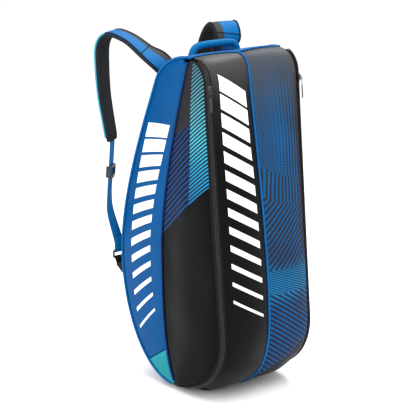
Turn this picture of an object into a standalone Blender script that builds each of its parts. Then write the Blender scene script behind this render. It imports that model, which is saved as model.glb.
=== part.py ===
"""Racket tournament bag with two zipped compartments side by side, padded shoulder straps and a grab handle.

Frame: metres, +Z up, origin on the underside of the base. -Y is the front, away from the wearer, and +Y
is the strap side. The bag stands head end down. Its side outline is drawn in (y, z); the thickness is X.
"""

import math

import bmesh
import bpy
from mathutils import Matrix, Vector

# Fabric and trim
PANEL = 0.003  # foam padded fabric
TAPE = 0.0014  # zip tape with its coil
PIPING_R = 0.0026
SEAM = 0.0034  # from a piped seam's line to each panel's edge
ZIP_HALF = 0.006  # from the zip's line to each panel's edge
ZIP_FIXED = (0.0006, 0.0055)  # fixed tape, measured from the zip's line
ZIP_MOVING = (0.0026, 0.0053)  # door tape, further off so that the door can turn out

# Thickness of the bag
HALF_FRONT = 0.128  # half thickness at the zips
HALF_BACK = 0.129  # half thickness at the back seams
DOOR_BULGE = 0.013
SIDE_BULGE = 0.004
FRONT_LOBE = 0.011  # how far each compartment stands proud of the centre seam
BACK_CROWN = 0.008

# Side outline, as lines (2 points) and Bezier curves (4 points), from the top round to the bottom tip
RIM = (-0.055, 0.746)
TIP = (-0.004, 0.0085)
ZIP_TOP = (-0.113, 0.698)
ZIP_BOTTOM = (-0.160, 0.162)
BACK_TOP = (0.058, 0.685)
BACK_WIDEST = (0.184, 0.282)
BASE_FRONT = -0.070
BASE_BACK = 0.070

# Moving parts
DOOR_AXIS = (0.1440, 0.0355)  # |x| and y of each door's upright hinge line
SLIDER = (0.0080, 0.0042, 0.022)  # across, proud and along the zip
SLIDER_LIFT = 0.0014
PULLER = (0.0070, 0.0018, 0.044)
SLIDER_START = 0.012  # from the top of the straight run to the slider's middle
HANDLE_X = 0.064
HANDLE_PIVOT = (0.014, 0.7250)
HANDLE_R = 0.0075
STRAP_T = 0.013
WEBBING = (0.025, 0.0018)

# Share of each outline, from the rim to the tip, where the panels' rows lie
ROWS = (0.012, 0.035, 0.06, 0.085, 0.11, 0.14, 0.20, 0.28, 0.36, 0.44, 0.52, 0.60, 0.68, 0.74, 0.79, 0.83, 0.87, 0.90,
        0.93, 0.965, 0.985)
TOP_END = 0.14
INSERT_TOP = 0.885

COLOURS = {
    "blue": ((0.014, 0.144, 0.402, 1), 0.55, 0.0),
    "black": ((0.012, 0.013, 0.014, 1), 0.40, 0.0),
    "print": ((0.022, 0.060, 0.120, 1), 0.60, 0.0),
    "mesh": ((0.020, 0.020, 0.022, 1), 0.90, 0.0),
    "teal": ((0.060, 0.380, 0.440, 1), 0.60, 0.0),
    "plastic": ((0.010, 0.010, 0.011, 1), 0.35, 0.0),
    "metal": ((0.250, 0.250, 0.260, 1), 0.30, 1.0),
    "lining": ((0.060, 0.062, 0.066, 1), 0.80, 0.0),
    "board": ((0.050, 0.050, 0.050, 1), 0.60, 0.0),
}


# ---------------------------------------------------------------- curves and small helpers
def smooth(t):
    """0 to 1 with level ends."""
    t = min(1.0, max(0.0, t))
    return t * t * (3 - 2 * t)


def mix(a, b, t):
    return tuple(p + (q - p) * t for p, q in zip(a, b))


def bezier(p, t):
    u = 1 - t
    weights = (u**3, 3 * u * u * t, 3 * u * t * t, t**3)
    return tuple(sum(w * q[i] for w, q in zip(weights, p)) for i in range(len(p[0])))


class Path:
    """A run of lines and Bezier curves that is read by its share of length."""

    def __init__(self, *segments, steps=60):
        self.points = [segments[0][0]]
        for segment in segments:
            for k in range(1, steps + 1):
                t = k / steps
                self.points.append(mix(*segment, t) if len(segment) == 2 else bezier(segment, t))
        self.length = [0.0]
        for a, b in zip(self.points, self.points[1:]):
            self.length.append(self.length[-1] + math.dist(a, b))

    def at(self, share):
        want = min(1.0, max(0.0, share)) * self.length[-1]
        k = 1
        while k < len(self.length) - 1 and self.length[k] < want:
            k += 1
        a, b = self.length[k - 1], self.length[k]
        return mix(self.points[k - 1], self.points[k], (want - a) / (b - a))

    def normal(self, share):
        """Unit normal to the left of the direction of travel."""
        a, b = self.at(share - 0.004), self.at(share + 0.004)
        d = math.dist(a, b)
        return (-(b[1] - a[1]) / d, (b[0] - a[0]) / d)

    def share_where(self, test):
        """The first share at which a point passes the test."""
        for point, length in zip(self.points, self.length):
            if test(point):
                return length / self.length[-1]
        return 1.0


def catmull(points, count):
    """Evenly counted points on a smooth curve through the given ones."""
    ends = [[2 * a - b for a, b in zip(points[0], points[1])], [2 * a - b for a, b in zip(points[-1], points[-2])]]
    p = [ends[0], *points, ends[1]]
    out = []
    for k in range(count):
        x = k / (count - 1) * (len(points) - 1)
        i = min(int(x), len(points) - 2)
        t = x - i
        a, b, c, d = p[i : i + 4]
        out.append(
            Vector(
                0.5 * (2 * b[j] + (c[j] - a[j]) * t + (2 * a[j] - 5 * b[j] + 4 * c[j] - d[j]) * t * t
                       + (3 * b[j] - a[j] - 3 * c[j] + d[j]) * t**3)
                for j in range(len(b))
            )
        )
    return out


RUN = Vector((0, ZIP_BOTTOM[0] - ZIP_TOP[0], ZIP_BOTTOM[1] - ZIP_TOP[1])).normalized()  # down the straight zip

ZIP = Path(
    (RIM, (-0.085, 0.749), (ZIP_TOP[0] - RUN.y * 0.033, ZIP_TOP[1] - RUN.z * 0.033), ZIP_TOP),
    (ZIP_TOP, ZIP_BOTTOM),
    (ZIP_BOTTOM, (ZIP_BOTTOM[0] + RUN.y * 0.075, ZIP_BOTTOM[1] + RUN.z * 0.075), (-0.115, 0.020), TIP),
)
HINGE = Path(
    ((-0.051, 0.745), (-0.030, 0.652), (0.033, 0.452), (0.033, 0.312)),
    ((0.033, 0.312), (0.033, 0.212), (0.034, 0.067), TIP),
)
BACK = Path(
    (RIM, (-0.020, 0.749), (0.040, 0.729), BACK_TOP),
    (BACK_TOP, (0.088, 0.612), (0.184, 0.422), BACK_WIDEST),
    (BACK_WIDEST, (0.184, 0.162), (0.124, 0.0100), TIP),
)
FRONT_END = ZIP.share_where(lambda p: p[0] > BASE_FRONT and p[1] < 0.1)
BACK_END = BACK.share_where(lambda p: p[0] < BASE_BACK and p[1] < 0.1)
CENTRE = Path(
    ((-0.059, 0.746), (-0.078, 0.746), (-0.092, 0.736), (-0.096, 0.713)),
    ((-0.096, 0.713), (-0.114, 0.592), (-0.162, 0.342), (-0.166, 0.182)),
    ((-0.166, 0.182), (-0.168, 0.102), (-0.145, 0.036), (BASE_FRONT, 0.006)),
)


def half(y):
    """Half thickness of the bag at the outline's corners."""
    return HALF_FRONT + (HALF_BACK - HALF_FRONT) * smooth(y / 0.10)


# ---------------------------------------------------------------- surfaces of the bag
def across(s, flat):
    """Share of the way from the centre line to the corner: round on the front, flat in the middle elsewhere."""
    return (1 - flat) * abs(s) ** 1.6 + flat * smooth((abs(s) - 0.6) / 0.4)


def lobe(s):
    return math.sin(math.pi * min(1.0, abs(s))) ** 0.8


def swelling(u):
    """How far each lobe stands proud, growing from the rim."""
    return FRONT_LOBE * (0.35 + 0.65 * smooth(u / 0.10))


def front_point(u, s):
    """u from the rim down to the base; s from -1 to 1 across the thickness."""
    corner, middle = ZIP.at(u), CENTRE.at(u / FRONT_END)
    fade = 1 - smooth((u - 0.80) / (FRONT_END - 0.80))
    y, z = mix(middle, corner, across(s, 1 - fade))
    ny, nz = CENTRE.normal(u / FRONT_END)
    push = -swelling(u) * fade * lobe(s)
    return Vector((s * half(corner[0]), y + ny * push, z + nz * push))


def back_point(u, s):
    """The top, back and lower back, u from the rim over the back to the base."""
    corner = BACK.at(u)
    ny, nz = BACK.normal(u)
    low = smooth((u - 0.78) / (BACK_END - 0.78))
    crown = (BACK_CROWN + (0.018 - BACK_CROWN) * low) * smooth((u - 0.07) / 0.12)
    over = 1 - smooth(u / 0.08)
    rise = crown * (1 - across(s, 1.0)) + over * swelling(0) * lobe(s)
    return Vector((s * half(corner[0]), corner[0] + ny * rise, corner[1] + nz * rise))


def base_point(t, s):
    """t from the front edge to the back edge of the base. The middle is flat at z = 0."""
    if t < 0.5:
        corner = ZIP.at(FRONT_END + (1 - FRONT_END) * 2 * t)
    else:
        corner = BACK.at(1 - (1 - BACK_END) * (2 * t - 1))
    lift = 0.006 * smooth((abs(corner[0]) - 0.050) / 0.020)
    y, z = mix((corner[0], lift), corner, across(s, 1.0))
    return Vector((s * half(corner[0]), y, z))


def door_point(u, v, side):
    """v from the zip to the hinge seam."""
    a, b = ZIP.at(u), HINGE.at(u)
    y, z = mix(a, b, v)
    swell = math.sin(math.pi * min(1.0, max(0.0, u))) ** 0.5
    bow = (1 - abs(1 - v / 0.45) ** 2.2) ** 0.6 if v < 0.45 else 0.5 + 0.5 * math.cos(math.pi * (v - 0.45) / 0.55)
    x = half(a[0]) + 0.010 * swell * v + DOOR_BULGE * swell * bow
    return Vector((side * x, y, z))


def side_point(u, v, side):
    """v from the hinge seam to the back seam."""
    a, b = HINGE.at(u), BACK.at(u)
    y, z = mix(a, b, v)
    swell = math.sin(math.pi * min(1.0, max(0.0, u))) ** 0.5
    x = (half(ZIP.at(u)[0]) + 0.010 * swell) * (1 - v) + half(b[0]) * v + SIDE_BULGE * swell * math.sin(math.pi * v)
    return Vector((side * x, y, z))


# ---------------------------------------------------------------- Blender helpers
def material(name):
    found = bpy.data.materials.get(name)
    if found:
        return found
    colour, rough, metal = COLOURS[name]
    made = bpy.data.materials.new(name)
    made.use_nodes = True
    shader = made.node_tree.nodes["Principled BSDF"]
    shader.inputs["Base Color"].default_value = colour
    shader.inputs["Roughness"].default_value = rough
    shader.inputs["Metallic"].default_value = metal
    return made


def add(name, data, finish, parent=None):
    obj = bpy.data.objects.new(name, data)
    bpy.data.collections["racket_bag"].objects.link(obj)
    data.materials.append(material(finish))
    if parent:
        obj.parent = parent
        obj.matrix_parent_inverse = Matrix.Translation(parent.location).inverted()
    return obj


def pivot(name, place):
    empty = bpy.data.objects.new(name, None)
    empty.location = place
    bpy.data.collections["racket_bag"].objects.link(empty)
    return empty


def sheet(name, rows, finish, thickness=PANEL, outward=False, inside=(0, 0, 0.35), parent=None):
    """A fabric panel: a grid of points that faces away from `inside`, thickened inwards or outwards."""
    bm = bmesh.new()
    verts = [[bm.verts.new(p) for p in row] for row in rows]
    for a, b in zip(verts, verts[1:]):
        for k in range(len(a) - 1):
            bm.faces.new((a[k], a[k + 1], b[k + 1], b[k]))
    bm.normal_update()
    facing = sum(f.normal.dot(f.calc_center_median() - Vector(inside)) * f.calc_area() for f in bm.faces)
    if facing < 0:
        bmesh.ops.reverse_faces(bm, faces=bm.faces)
    mesh = bpy.data.meshes.new(name)
    bm.to_mesh(mesh)
    bm.free()
    mesh.shade_smooth()
    obj = add(name, mesh, finish, parent)
    solid = obj.modifiers.new("thickness", "SOLIDIFY")
    solid.thickness = thickness
    solid.offset = 1.0 if outward else -1.0
    return obj


def tube(name, points, radius, finish, parent=None, resolution=1):
    curve = bpy.data.curves.new(name, "CURVE")
    curve.dimensions = "3D"
    curve.bevel_depth = radius
    curve.bevel_resolution = resolution
    curve.use_fill_caps = True
    spline = curve.splines.new("POLY")
    spline.points.add(len(points) - 1)
    for point, place in zip(spline.points, points):
        point.co = (*place, 1)
    return add(name, curve, finish, parent)


def box(name, size, place, turn, finish, bevel=0.0006, parent=None):
    """A block whose local axes are the columns of `turn`."""
    bm = bmesh.new()
    bmesh.ops.create_cube(bm, size=1.0)
    bmesh.ops.scale(bm, vec=size, verts=bm.verts)
    mesh = bpy.data.meshes.new(name)
    bm.to_mesh(mesh)
    bm.free()
    obj = add(name, mesh, finish)
    obj.matrix_world = Matrix.Translation(place) @ turn.to_4x4()
    if parent:
        obj.parent = parent
        obj.matrix_parent_inverse = Matrix.Translation(parent.location).inverted()
    if bevel:
        edge = obj.modifiers.new("rounded", "BEVEL")
        edge.width = bevel
        edge.segments = 1
    return obj


def band(name, path, wide, widths, thickness, finish, parent=None):
    """A flat strip along `path` (a list of points), `wide` its width directions and `widths` its widths."""
    bm = bmesh.new()
    rings = []
    for k, centre in enumerate(path):
        ahead = path[min(k + 1, len(path) - 1)] - path[max(k - 1, 0)]
        side = (wide[k] - wide[k].project(ahead)).normalized() * widths[k] / 2
        up = side.cross(ahead).normalized() * thickness / 2
        rim = [centre + side * a + up * b for a, b in ((-1, -0.55), (-0.94, -1), (0.94, -1), (1, -0.55),
                                                      (1, 0.55), (0.94, 1), (-0.94, 1), (-1, 0.55))]
        rings.append([bm.verts.new(p) for p in rim])
    for a, b in zip(rings, rings[1:]):
        for k in range(8):
            bm.faces.new((a[k], a[(k + 1) % 8], b[(k + 1) % 8], b[k]))
    bm.faces.new(rings[0])
    bm.faces.new(rings[-1])
    bmesh.ops.recalc_face_normals(bm, faces=bm.faces)
    mesh = bpy.data.meshes.new(name)
    bm.to_mesh(mesh)
    bm.free()
    mesh.shade_smooth()
    mesh.set_sharp_from_angle(angle=math.radians(50))
    return add(name, mesh, finish, parent)


# ---------------------------------------------------------------- carcass
def front_rows():
    return [0.005, *[u for u in ROWS if 0.02 < u < FRONT_END - 0.001], FRONT_END - 0.002]


def build_front():
    """The two compartments' fronts, which meet at the piped centre seam, and run from the rim to the base."""
    edge = ZIP_HALF / HALF_FRONT
    centre = SEAM / HALF_FRONT
    across_front = [centre + (1 - edge - centre) * k / 6 for k in range(7)]
    for side, name, finish in ((-1, "left_front_panel", "black"), (1, "right_front_panel", "print")):
        rows = [[front_point(u, side * s) for s in across_front] for u in front_rows()]
        sheet(name, rows, finish)


BACK_SPREAD = [-1 + SEAM / HALF_BACK + (2 - 2 * SEAM / HALF_BACK) * k / 10 for k in range(11)]


def build_back():
    rows = [u for u in ROWS if TOP_END < u < BACK_END]
    rows = [TOP_END + 0.003, *rows, BACK_END - 0.002]
    sheet("back_panel", [[back_point(u, s) for s in BACK_SPREAD] for u in rows], "blue")
    top = [0.006, *[u for u in ROWS if 0.02 < u < TOP_END], TOP_END - 0.003]
    sheet("top_panel", [[back_point(u, s) for s in BACK_SPREAD] for u in top], "blue")


def build_base():
    across_base = [-1 + SEAM / 0.12, -0.88, -0.74, -0.59, -0.3, 0, 0.3, 0.59, 0.74, 0.88, 1 - SEAM / 0.12]
    rows = [0.02, 0.12, 0.22, 0.35, 0.5, 0.62, 0.74, 0.86, 0.97]
    sheet("base_panel", [[base_point(t, s) for s in across_base] for t in rows], "black", inside=(0, 0, 0.2))
    box("base_board", (0.130, 0.076, 0.002), Vector((0, 0, PANEL + 0.0018)), Matrix.Identity(3), "board")


def build_divider():
    """A padded wall between the compartments, held inside the centre line of the panels."""
    inset = PANEL + 0.003
    loop = []
    for u in front_rows()[2:]:
        p, n = CENTRE.at(u / FRONT_END), CENTRE.normal(u / FRONT_END)
        loop.append((p[0] + n[0] * inset, p[1] + n[1] * inset))
    loop += [(-0.055, 0.012), (0.055, 0.012)]
    for u in reversed([v for v in ROWS if 0.02 < v < 0.90]):
        p, n = BACK.at(u), BACK.normal(u)
        loop.append((p[0] - n[0] * inset, p[1] - n[1] * inset))
    curve = bpy.data.curves.new("compartment_divider", "CURVE")
    curve.dimensions = "2D"
    curve.fill_mode = "BOTH"
    curve.extrude = 0.0015
    spline = curve.splines.new("POLY")
    spline.points.add(len(loop) - 1)
    for point, (y, z) in zip(spline.points, loop):
        point.co = (y, z, 0, 1)
    spline.use_cyclic_u = True
    obj = add("compartment_divider", curve, "lining")
    obj.rotation_euler = (math.pi / 2, 0, math.pi / 2)


def side_row(u, side):
    wide = math.dist(HINGE.at(u), BACK.at(u))
    a, b = SEAM / wide, 1 - SEAM / wide
    return [side_point(u, a + (b - a) * k / 5, side) for k in range(6)]


def build_sides():
    """Each side behind its door: a long panel, and a small insert at the foot."""
    for side, name in ((-1, "left"), (1, "right")):
        upper = [u for u in ROWS if 0.03 < u < INSERT_TOP] + [INSERT_TOP - 0.0008]
        lower = [INSERT_TOP + 0.0008] + [u for u in ROWS if u > INSERT_TOP + 0.01]
        sheet(f"{name}_side_panel", [side_row(u, side) for u in upper], "blue")
        sheet(f"{name}_side_insert", [side_row(u, side) for u in lower], "teal")


def build_piping():
    """Cords sewn into the seams, laid on the panels' own rows so that they stay clear of the edges."""
    centre = [front_point(u, 0) for u in front_rows()]
    tube("centre_piping", centre, PIPING_R, "blue")
    for side, name in ((-1, "left"), (1, "right")):
        rim = [(front_point(0, s) + back_point(0, s)) / 2 for s in (side * (0.04 + 0.95 * k / 10) for k in range(11))]
        tube(f"{name}_rim_piping", rim, PIPING_R, "blue")
        tube(f"{name}_hinge_piping", [side_point(u, 0, side) for u in ROWS[2:-1]], PIPING_R, "blue")
        back = [side_point(u, 1, side) for u in ROWS[1:-2]]
        tube(f"{name}_back_piping", back, PIPING_R, "blue")


def build_fixed_zips():
    a, b = (1 - x / HALF_FRONT for x in ZIP_FIXED)
    rows = [u for u in front_rows() if u > 0.04]
    for side, name in ((-1, "left"), (1, "right")):
        strip = [[front_point(u, side * (a + (b - a) * k / 2)) for k in range(3)] for u in rows]
        sheet(f"{name}_zip_tape", strip, "black", thickness=TAPE)


# ---------------------------------------------------------------- doors, sliders, handle
def build_doors():
    for side, name in ((-1, "left"), (1, "right")):
        hinge = pivot(f"{name}_door_hinge", (side * DOOR_AXIS[0], DOOR_AXIS[1], 0.35))
        rows, tape = [], []
        for u in ROWS:
            wide = math.dist(ZIP.at(u), HINGE.at(u))
            if wide < 0.018:
                continue
            a, b = ZIP_HALF / wide, 1 - SEAM / wide
            rows.append([door_point(u, a + (b - a) * (k / 7) ** 1.25, side) for k in range(8)])
            tape.append([door_point(u, x / wide, side) for x in ZIP_MOVING])
        sheet(f"{name}_door_panel", rows, "black", parent=hinge)
        sheet(f"{name}_door_tape", tape, "black", thickness=TAPE, parent=hinge)


def zip_frame(side):
    """Axes at the zip: across (towards the door), proud and down the run, as a matrix's columns."""
    forward = Vector((0, RUN.z, -RUN.y))
    out = (Vector((side, 0, 0)) + forward).normalized()
    over = (Vector((side, 0, 0)) - forward).normalized()
    return Matrix((over, out, RUN)).transposed()


def build_sliders():
    """Each slider stays on the fixed tape's side of the zip, so that the door turns clear of it."""
    for side, name in ((-1, "left"), (1, "right")):
        turn = zip_frame(side)
        start = Vector((side * HALF_FRONT, *ZIP_TOP)) + RUN * SLIDER_START
        over, out = -SLIDER[0] / 2, SLIDER_LIFT + SLIDER[1] / 2
        slider = pivot(f"{name}_slider_pivot", start)
        box(f"{name}_zip_slider", SLIDER, start + turn @ Vector((over, out, 0)), turn, "metal", parent=slider)
        bridge = SLIDER_LIFT + SLIDER[1] + PULLER[1] / 2 + 0.0004
        eye = start + turn @ Vector((over, bridge, 0.002))
        puller = pivot(f"{name}_puller_pivot", eye)
        hang = Vector((0, 0, PULLER[2] / 2))
        box(f"{name}_zip_puller", PULLER, eye + turn @ hang, turn, "plastic", parent=puller)


def build_handle():
    """A short grab loop of webbing round a foam cord, standing over the top panel."""
    empty = pivot("handle_pivot", (0, *HANDLE_PIVOT))
    y, z = HANDLE_PIVOT
    arch = [(-HANDLE_X, y, z + 0.0120), (-HANDLE_X + 0.004, y, z + 0.022), (-HANDLE_X + 0.014, y, z + 0.0290)]
    arch += [(-0.030, y, z + 0.0315), (0, y, z + 0.0320)]
    arch += [(-x, b, c) for x, b, c in reversed(arch[:-1])]
    tube("grab_handle", catmull(arch, 21), HANDLE_R, "blue", empty, resolution=3)


# ---------------------------------------------------------------- straps
# Way points of each strap's middle, and the direction across its width, from the yoke to the lower ring
PAD_LEFT = [(-0.070, 0.085, 0.684), (-0.080, 0.091, 0.708), (-0.108, 0.108, 0.733), (-0.134, 0.142, 0.765),
            (-0.156, 0.174, 0.776), (-0.167, 0.191, 0.752), (-0.168, 0.193, 0.700), (-0.166, 0.190, 0.640),
            (-0.161, 0.184, 0.585), (-0.157, 0.177, 0.538)]
PAD_RIGHT = [(0.070, 0.085, 0.684), (0.073, 0.076, 0.724), (0.078, 0.062, 0.757), (0.086, 0.083, 0.783),
             (0.094, 0.112, 0.774), (0.099, 0.137, 0.744), (0.103, 0.158, 0.702), (0.107, 0.176, 0.647),
             (0.109, 0.187, 0.592), (0.111, 0.194, 0.537)]
LOOP_LEFT = [(-0.157, 0.177, 0.538), (-0.158, 0.1803, 0.4987), (-0.159, 0.1836, 0.4593), (-0.160, 0.187, 0.420),
             (-0.152, 0.196, 0.375), (-0.1185, 0.2130, 0.300), (-0.117, 0.212, 0.2795)]
LOOP_RIGHT = [(0.111, 0.194, 0.537), (0.1125, 0.1975, 0.498), (0.114, 0.201, 0.459), (0.1155, 0.2045, 0.420),
              (0.1165, 0.208, 0.375), (0.117, 0.2125, 0.310), (0.117, 0.212, 0.2775)]
WIDE_LEFT = (-0.866, -0.50, 0)
WIDE_RIGHT = (1, -0.12, 0)
RING_X = 0.117
RING = (0.212, 0.2665)  # y and z of the ring's middle
RING_WIDE = 0.031
RING_TALL = 0.015
RING_WIRE = 0.0020
TAB_T = 0.003


def build_strap(side, name, pad, loop, wide):
    root = pivot(f"{name}_strap_pivot", pad[0])
    turn = Vector(wide)
    count = 26
    middle = catmull(pad, count)
    taper = [0.036 + 0.032 * smooth(k / 5) - 0.016 * smooth((k - 12) / 13) for k in range(count)]
    flat = Vector((side, 0, 0))
    turning = [flat.lerp(turn, smooth((k - 1) / 8)) for k in range(count)]
    band(f"{name}_strap_pad", middle, turning, taper, STRAP_T, "blue", root)
    end = (middle[-1] - middle[-2]).normalized()
    webbing = catmull(loop, 22)
    webbing[0] = middle[-1] + end * 0.0018
    turns = [turn.lerp(flat, smooth((k - 10) / 10)) for k in range(22)]
    band(f"{name}_strap_webbing", webbing, turns, [WEBBING[0]] * 22, WEBBING[1], "blue", root)
    build_ring(side, name, root)
    build_adjuster(name, webbing, turns)


def build_ring(side, name, root):
    """A rectangular plastic ring that joins the webbing to the tab on the bag."""
    wide, tall = RING_WIDE / 2, RING_TALL / 2
    corners = [(-wide, -tall), (wide, -tall), (wide, tall), (-wide, tall)]
    points = [Vector((side * RING_X + x, RING[0], RING[1] + z)) for x, z in corners]
    obj = tube(f"{name}_lower_ring", points, RING_WIRE, "plastic", root, resolution=1)
    obj.data.splines[0].use_cyclic_u = True


def build_adjuster(name, webbing, turns):
    """A ladder lock frame: two side rails and three bars, with the webbing passing between the bars."""
    k = 6
    run = (webbing[k + 1] - webbing[k - 1]).normalized()
    over = (turns[k] - turns[k].project(run)).normalized()
    out = over.cross(run)
    turn = Matrix((over, out, run)).transposed()
    wide, tall, thick, rail = 0.036, 0.026, 0.0026, 0.0042
    place = webbing[k]
    empty = pivot(f"{name}_adjuster_pivot", place)
    gap = WEBBING[1] / 2 + 0.0012 + thick / 2
    bm = bmesh.new()
    blocks = [((rail, 2 * gap + thick, tall), (s * (wide - rail) / 2, 0, 0)) for s in (-1, 1)]
    blocks += [((wide - rail, thick, rail), (0, gap, z)) for z in (-tall / 2 + rail / 2, tall / 2 - rail / 2)]
    blocks += [((wide - rail, thick, rail), (0, -gap, 0))]
    made = []
    for size, shift in blocks:
        part = bmesh.new()
        bmesh.ops.create_cube(part, size=1.0)
        bmesh.ops.scale(part, vec=size, verts=part.verts)
        bmesh.ops.translate(part, vec=shift, verts=part.verts)
        mesh = bpy.data.meshes.new("block")
        part.to_mesh(mesh)
        part.free()
        made.append(mesh)
    bm.from_mesh(made[0])
    mesh = bpy.data.meshes.new(f"{name}_strap_adjuster")
    bm.to_mesh(mesh)
    bm.free()
    obj = add(f"{name}_strap_adjuster", mesh, "plastic")
    obj.matrix_world = Matrix.Translation(place) @ turn.to_4x4()
    obj.parent = empty
    obj.matrix_parent_inverse = Matrix.Translation(empty.location).inverted()
    for n, extra in enumerate(made[1:]):
        cutter = bpy.data.objects.new(f"{name}_adjuster_block_{n}", extra)
        bpy.data.collections["guides"].objects.link(cutter)
        cutter.matrix_world = obj.matrix_world
        cutter.hide_render = True
        cutter.display_type = "WIRE"
        join = obj.modifiers.new(f"bar_{n}", "BOOLEAN")
        join.operation = "UNION"
        join.object = cutter


def back_patch(rows, columns, lift):
    """A grid on the back of the bag, lifted off it, on the back panel's own rows and columns."""
    grid = []
    for u in rows:
        n = BACK.normal(u)
        grid.append([back_point(u, s) + Vector((0, n[0], n[1])) * lift for s in columns])
    return grid


def build_back_fittings():
    yoke = back_patch((0.150, 0.172, 0.195), BACK_SPREAD[1:-1], 0.0006)
    sheet("strap_yoke", yoke, "blue", thickness=0.003, outward=True)
    pad = back_patch([u for u in ROWS if 0.25 < u < 0.61], BACK_SPREAD[2:-2], 0.0006)
    sheet("back_pad", pad, "mesh", thickness=0.008, outward=True)
    for side, name in ((-1, "left"), (1, "right")):
        build_tab(side, name)
    loop = [back_point(u, -0.90) + Vector((-0.001, 0.0012, 0)) for u in (0.262, 0.270, 0.285, 0.300, 0.308)]
    lifts = (0.0, 0.004, 0.005, 0.004, 0.0)
    places = [p + Vector((-0.3, 0.95, 0)) * (0.0022 + lift) for p, lift in zip(loop, lifts)]
    band("back_edge_loop", places, [Vector((1, 0.3, 0))] * 5, [0.012] * 5, 0.0014, "black")


def build_tab(side, name):
    """A triangular webbing tab from the back panel to the lower ring."""
    high, low = (back_point(u, RING_X / HALF_BACK) for u in (0.640, 0.664))
    clear = 0.0009
    tip = (RING[0] - 0.0045, RING[1] - RING_TALL / 2 - 0.0045)
    outline = [(high.y + clear, high.z), (tip[0], tip[1] + 0.0015), (tip[0] + 0.001, tip[1] - 0.0015)]
    outline += [(low.y + clear, low.z), ((high.y + low.y) / 2 + clear + 0.0006, (high.z + low.z) / 2)]
    bm = bmesh.new()
    face = bm.faces.new([bm.verts.new((side * RING_X - TAB_T / 2, y, z)) for y, z in outline])
    grown = bmesh.ops.extrude_face_region(bm, geom=[face])
    moved = [v for v in grown["geom"] if isinstance(v, bmesh.types.BMVert)]
    bmesh.ops.translate(bm, vec=(TAB_T, 0, 0), verts=moved)
    bmesh.ops.recalc_face_normals(bm, faces=bm.faces)
    mesh = bpy.data.meshes.new(f"{name}_strap_tab")
    bm.to_mesh(mesh)
    bm.free()
    add(f"{name}_strap_tab", mesh, "black")


def main():
    for obj in list(bpy.data.objects):
        bpy.data.objects.remove(obj)
    for name in ("racket_bag", "guides"):
        bpy.context.scene.collection.children.link(bpy.data.collections.new(name))
    build_front()
    build_back()
    build_base()
    build_divider()
    build_sides()
    build_piping()
    build_fixed_zips()
    build_doors()
    build_sliders()
    build_handle()
    build_strap(-1, "left", PAD_LEFT, LOOP_LEFT, WIDE_LEFT)
    build_strap(1, "right", PAD_RIGHT, LOOP_RIGHT, WIDE_RIGHT)
    build_back_fittings()


main()
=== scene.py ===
"""Looks of the racket tournament bag: sewn cloth panels, piping, zips, straps, buckles and lining."""

import math

import bmesh
import bpy
from mathutils import Matrix, Vector, noise


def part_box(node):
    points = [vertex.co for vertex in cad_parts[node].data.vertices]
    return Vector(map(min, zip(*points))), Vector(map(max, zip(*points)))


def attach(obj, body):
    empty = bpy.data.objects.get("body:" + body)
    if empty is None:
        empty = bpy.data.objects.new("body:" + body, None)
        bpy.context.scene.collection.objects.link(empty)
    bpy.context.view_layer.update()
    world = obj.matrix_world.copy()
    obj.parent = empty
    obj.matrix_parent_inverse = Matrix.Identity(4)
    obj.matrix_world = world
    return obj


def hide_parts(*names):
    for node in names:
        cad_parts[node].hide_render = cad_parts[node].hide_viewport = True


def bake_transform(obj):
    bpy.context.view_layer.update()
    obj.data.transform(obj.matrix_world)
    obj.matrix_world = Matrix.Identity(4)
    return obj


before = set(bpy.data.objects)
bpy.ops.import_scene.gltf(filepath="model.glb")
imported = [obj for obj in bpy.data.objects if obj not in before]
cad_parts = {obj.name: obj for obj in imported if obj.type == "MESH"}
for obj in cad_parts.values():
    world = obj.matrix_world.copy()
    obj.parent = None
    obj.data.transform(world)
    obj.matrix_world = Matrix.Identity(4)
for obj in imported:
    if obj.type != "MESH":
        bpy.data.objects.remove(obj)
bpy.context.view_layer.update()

# ---------------------------------------------------------------- the bag's own lines, as the solids have them
PANEL = 0.003  # cloth, foam and lining together
SEAM = 0.0014  # half the gap that the piping fills
ZIP_HALF = 0.006
HALF_FRONT = 0.128
HALF_BACK = 0.129
DOOR_BULGE = 0.013
SIDE_BULGE = 0.004
FRONT_LOBE = 0.011
BACK_CROWN = 0.008
RIM = (-0.055, 0.746)
TIP = (-0.004, 0.0085)
ZIP_TOP = (-0.113, 0.698)
ZIP_BOTTOM = (-0.160, 0.162)
BACK_TOP = (0.058, 0.685)
BACK_WIDEST = (0.184, 0.282)
BASE_FRONT = -0.070
BASE_BACK = 0.070
TOP_END = 0.14
INSERT_TOP = 0.885
HANDLE_X = 0.064
HANDLE_Y = 0.014
HANDLE_Z = 0.725
SIDES = ((-1, "left"), (1, "right"))
PIPING_RADIUS = 0.0026
HIDDEN_PIPING_RADIUS = 0.0024
WEBBING_WIDE = 0.025
WEBBING_THICK = 0.0017
PAD_THICK = 0.0125
ZIP_PITCH = 0.0022
IMAGE = 416  # side of the square picture that the lens and the shift are set for


def smooth(t):
    """A step from 0 to 1 with soft ends."""
    t = min(1.0, max(0.0, t))
    return t * t * (3 - 2 * t)


def mix(a, b, t):
    return tuple(p + (q - p) * t for p, q in zip(a, b))


def bezier(p, t):
    """A point of the cubic curve with control points p."""
    u = 1 - t
    weights = (u**3, 3 * u * u * t, 3 * u * t * t, t**3)
    return tuple(sum(w * q[i] for w, q in zip(weights, p)) for i in range(len(p[0])))


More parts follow.
